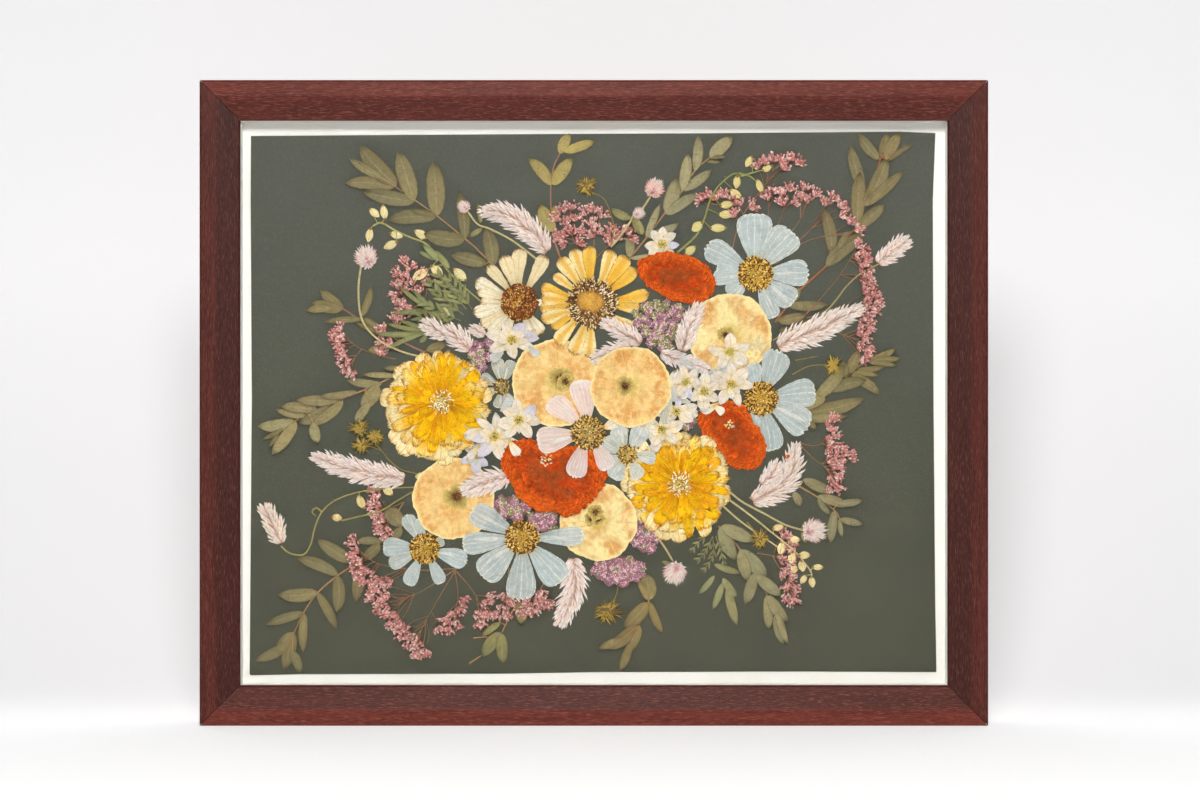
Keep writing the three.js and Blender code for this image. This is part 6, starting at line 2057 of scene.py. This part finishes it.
def rubber_finish():
    """Black rubber with a little dust."""
    material, tree, shader = new_material("black_rubber")
    place = object_place(tree)
    dust = rising(tree, cloud(tree, place, 0.8, 4.0, 0.65), 0.5, 0.75)
    base = mixed(tree, sums(tree, "MULTIPLY", dust, 0.4), colour(34, 34, 35), colour(78, 76, 72))
    finish(tree, shader, base, cloud(tree, place, 3.0, 2.0), 0.72, 0.4, 0.1, 0.3)
    return material


def glass_finish():
    """Clear low-reflection glass with the faintest green unevenness. Lamplight passes through it."""
    material, tree, shader = new_material("clear_glazing")
    place = object_place(tree)
    shader.inputs["Transmission Weight"].default_value = 1.0
    shader.inputs["IOR"].default_value = 1.1
    shader.inputs["Roughness"].default_value = 0.0
    tone = mixed(tree, cloud(tree, place, 0.01, 2.0), (0.985, 0.992, 0.988, 1.0),
                 (0.99, 0.995, 0.992, 1.0))
    tree.links.new(tone, shader.inputs["Base Color"])
    clear = put(tree, "BsdfTransparent", {"Color": (0.97, 0.98, 0.975, 1.0)})
    path = put(tree, "LightPath").outputs["Is Shadow Ray"]
    both = put(tree, "MixShader", {0: path, 1: shader.outputs[0], 2: clear.outputs[0]})
    tree.links.new(both.outputs[0], tree.nodes["Material Output"].inputs["Surface"])
    return material


def dress(nodes, material):
    """Gives the frame's own nodes a finish in place of their plain one."""
    for name in nodes:
        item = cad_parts[name]
        for slot in range(max(len(item.material_slots), 1)):
            if item.material_slots:
                item.material_slots[slot].material = material
            else:
                item.data.materials.append(material)


def dress_frame():
    """The finish of each of the frame's own parts."""
    dress(["rail_top", "rail_bottom"], wood_finish("stained_wood_across_painted_lighter", False))
    dress(["rail_left", "rail_right"], wood_finish("stained_wood_upright_painted_darker", True))
    dress(["glazing"], glass_finish())
    dress(["spacer_top", "spacer_bottom", "spacer_left", "spacer_right", "mount_board"], board_finish())
    dress(["flower_panel"], green_sheet_finish())
    dress(["backing_board"], foam_finish())
    dress(["dust_cover"], kraft_finish())
    dress(["sawtooth_hanger", "hanger_nail_left", "hanger_nail_right"], steel_finish())
    dress(["bumper_left", "bumper_right"], rubber_finish())


# ---------------------------------------------------------------------------------------------
# Floor, lights and camera
# ---------------------------------------------------------------------------------------------

def floor_finish():
    """A pale floor that glows softly round the object, and is clear where it is seen from behind."""
    material, tree, shader = new_material("pale_floor")
    place = object_place(tree)
    grain = cloud(tree, place, 0.002, 3.0)
    base = mixed(tree, grain, colour(247, 248, 250), colour(252, 252, 253))
    finish(tree, shader, base, cloud(tree, place, 0.5, 2.0), 0.8, 0.1, 0.1, 0.0)
    axes = put(tree, "SeparateXYZ", {0: place}).outputs
    near = put(tree, "CombineXYZ", {0: FLOOR_GLOW, 1: FLOOR_GLOW, 2: FLOOR_GLOW}).outputs[0]
    far = put(tree, "CombineXYZ", {0: WALL_GLOW, 1: WALL_GLOW, 2: WALL_GLOW * 1.03}).outputs[0]
    glow = mixed(tree, rising(tree, axes[1], 0.0, FLOOR_BEND + 0.1), near, far)
    dark = (0.0, 0.0, 0.0, 1.0)
    glow = mixed(tree, rising(tree, axes[1], GLOW_FROM - 0.4, GLOW_FROM), dark, glow)
    side = sums(tree, "ABSOLUTE", axes[0])
    glow = mixed(tree, rising(tree, side, GLOW_HALF_WIDTH, GLOW_HALF_WIDTH + 0.3), glow, dark)
    tree.links.new(glow, shader.inputs["Emission Color"])
    shader.inputs["Emission Strength"].default_value = 1.0
    behind = put(tree, "NewGeometry").outputs["Backfacing"]
    tree.links.new(sums(tree, "SUBTRACT", 1.0, behind), shader.inputs["Alpha"])
    return material


def add_floor():
    """A pale floor that bends up into the wall behind, and more floor beyond the wall."""
    bend = [(FLOOR_BEND + FLOOR_BEND_RADIUS * math.sin(angle), FLOOR_BEND_RADIUS * (1 - math.cos(angle)))
            for angle in np.linspace(0, math.pi / 2, 25)]
    places, faces = [], []
    for profile in ([(FLOOR_FRONT, 0.0)] + bend + [(FLOOR_BEND + FLOOR_BEND_RADIUS, FLOOR_TOP)],
                    [(FLOOR_BEND, -FLOOR_STEP), (FLOOR_BACK, -FLOOR_STEP)]):
        first, count = len(places), len(profile)
        places += [(side * FLOOR_HALF_WIDTH, y, z) for side in (-1, 1) for y, z in profile]
        faces += [(first + count + i, first + count + i + 1, first + i + 1, first + i)
                  for i in range(count - 1)]
    mesh = bpy.data.meshes.new("floor")
    mesh.from_pydata(places, [], faces)
    mesh.polygons.foreach_set("use_smooth", [True] * len(faces))
    mesh.update()
    mesh.materials.append(floor_finish())
    floor = bpy.data.objects.new("floor", mesh)
    bpy.context.scene.collection.objects.link(floor)


def add_lamp(name, place, size, power, tone):
    """A round lamp that is aimed at the middle of the frame."""
    lamp = bpy.data.lights.new(name, "AREA")
    lamp.shape = "DISK"
    lamp.size = size
    lamp.energy = power
    lamp.color = tone
    item = bpy.data.objects.new(name, lamp)
    item.location = place
    aim = Vector((0, 0, MIDDLE_Z * MM)) - Vector(place)
    item.rotation_euler = aim.to_track_quat("-Z", "Y").to_euler()
    bpy.context.scene.collection.objects.link(item)


def add_lights():
    """A faint sky, which is pale where it is looked at, and one large lamp."""
    world = bpy.data.worlds.new("soft_studio")
    world.use_nodes = True
    tree = world.node_tree
    sky = tree.nodes["Background"]
    sky.inputs["Color"].default_value = (0.97, 0.985, 1.0, 1.0)
    seen = put(tree, "LightPath").outputs["Is Camera Ray"]
    strength = sums(tree, "MULTIPLY", seen, SKY_SEEN - SKY_STRENGTH)
    tree.links.new(sums(tree, "ADD", strength, SKY_STRENGTH), sky.inputs["Strength"])
    bpy.context.scene.world = world
    add_lamp("key_light", KEY_PLACE, KEY_SIZE, KEY_POWER, (1.0, 0.985, 0.96))


def add_camera():
    """The camera, level and square to the frame."""
    camera = bpy.data.cameras.new("camera")
    camera.lens = LENS
    camera.sensor_width = FILM_WIDTH
    camera.clip_start = 0.05
    item = bpy.data.objects.new("camera", camera)
    item.location = CAMERA_PLACE
    item.rotation_euler = (math.pi / 2, 0, 0)
    bpy.context.scene.collection.objects.link(item)
    bpy.context.scene.camera = item


bpy.context.scene.view_settings.view_transform = "Standard"
add_camera()
add_lights()
add_floor()
GROUPS = {"tissue": tissue_group(), "wood": wood_group(), "weave": weave_group()}
dress_frame()
for specimen in [lay(name) for name in ORDER]:
    specimen.build()
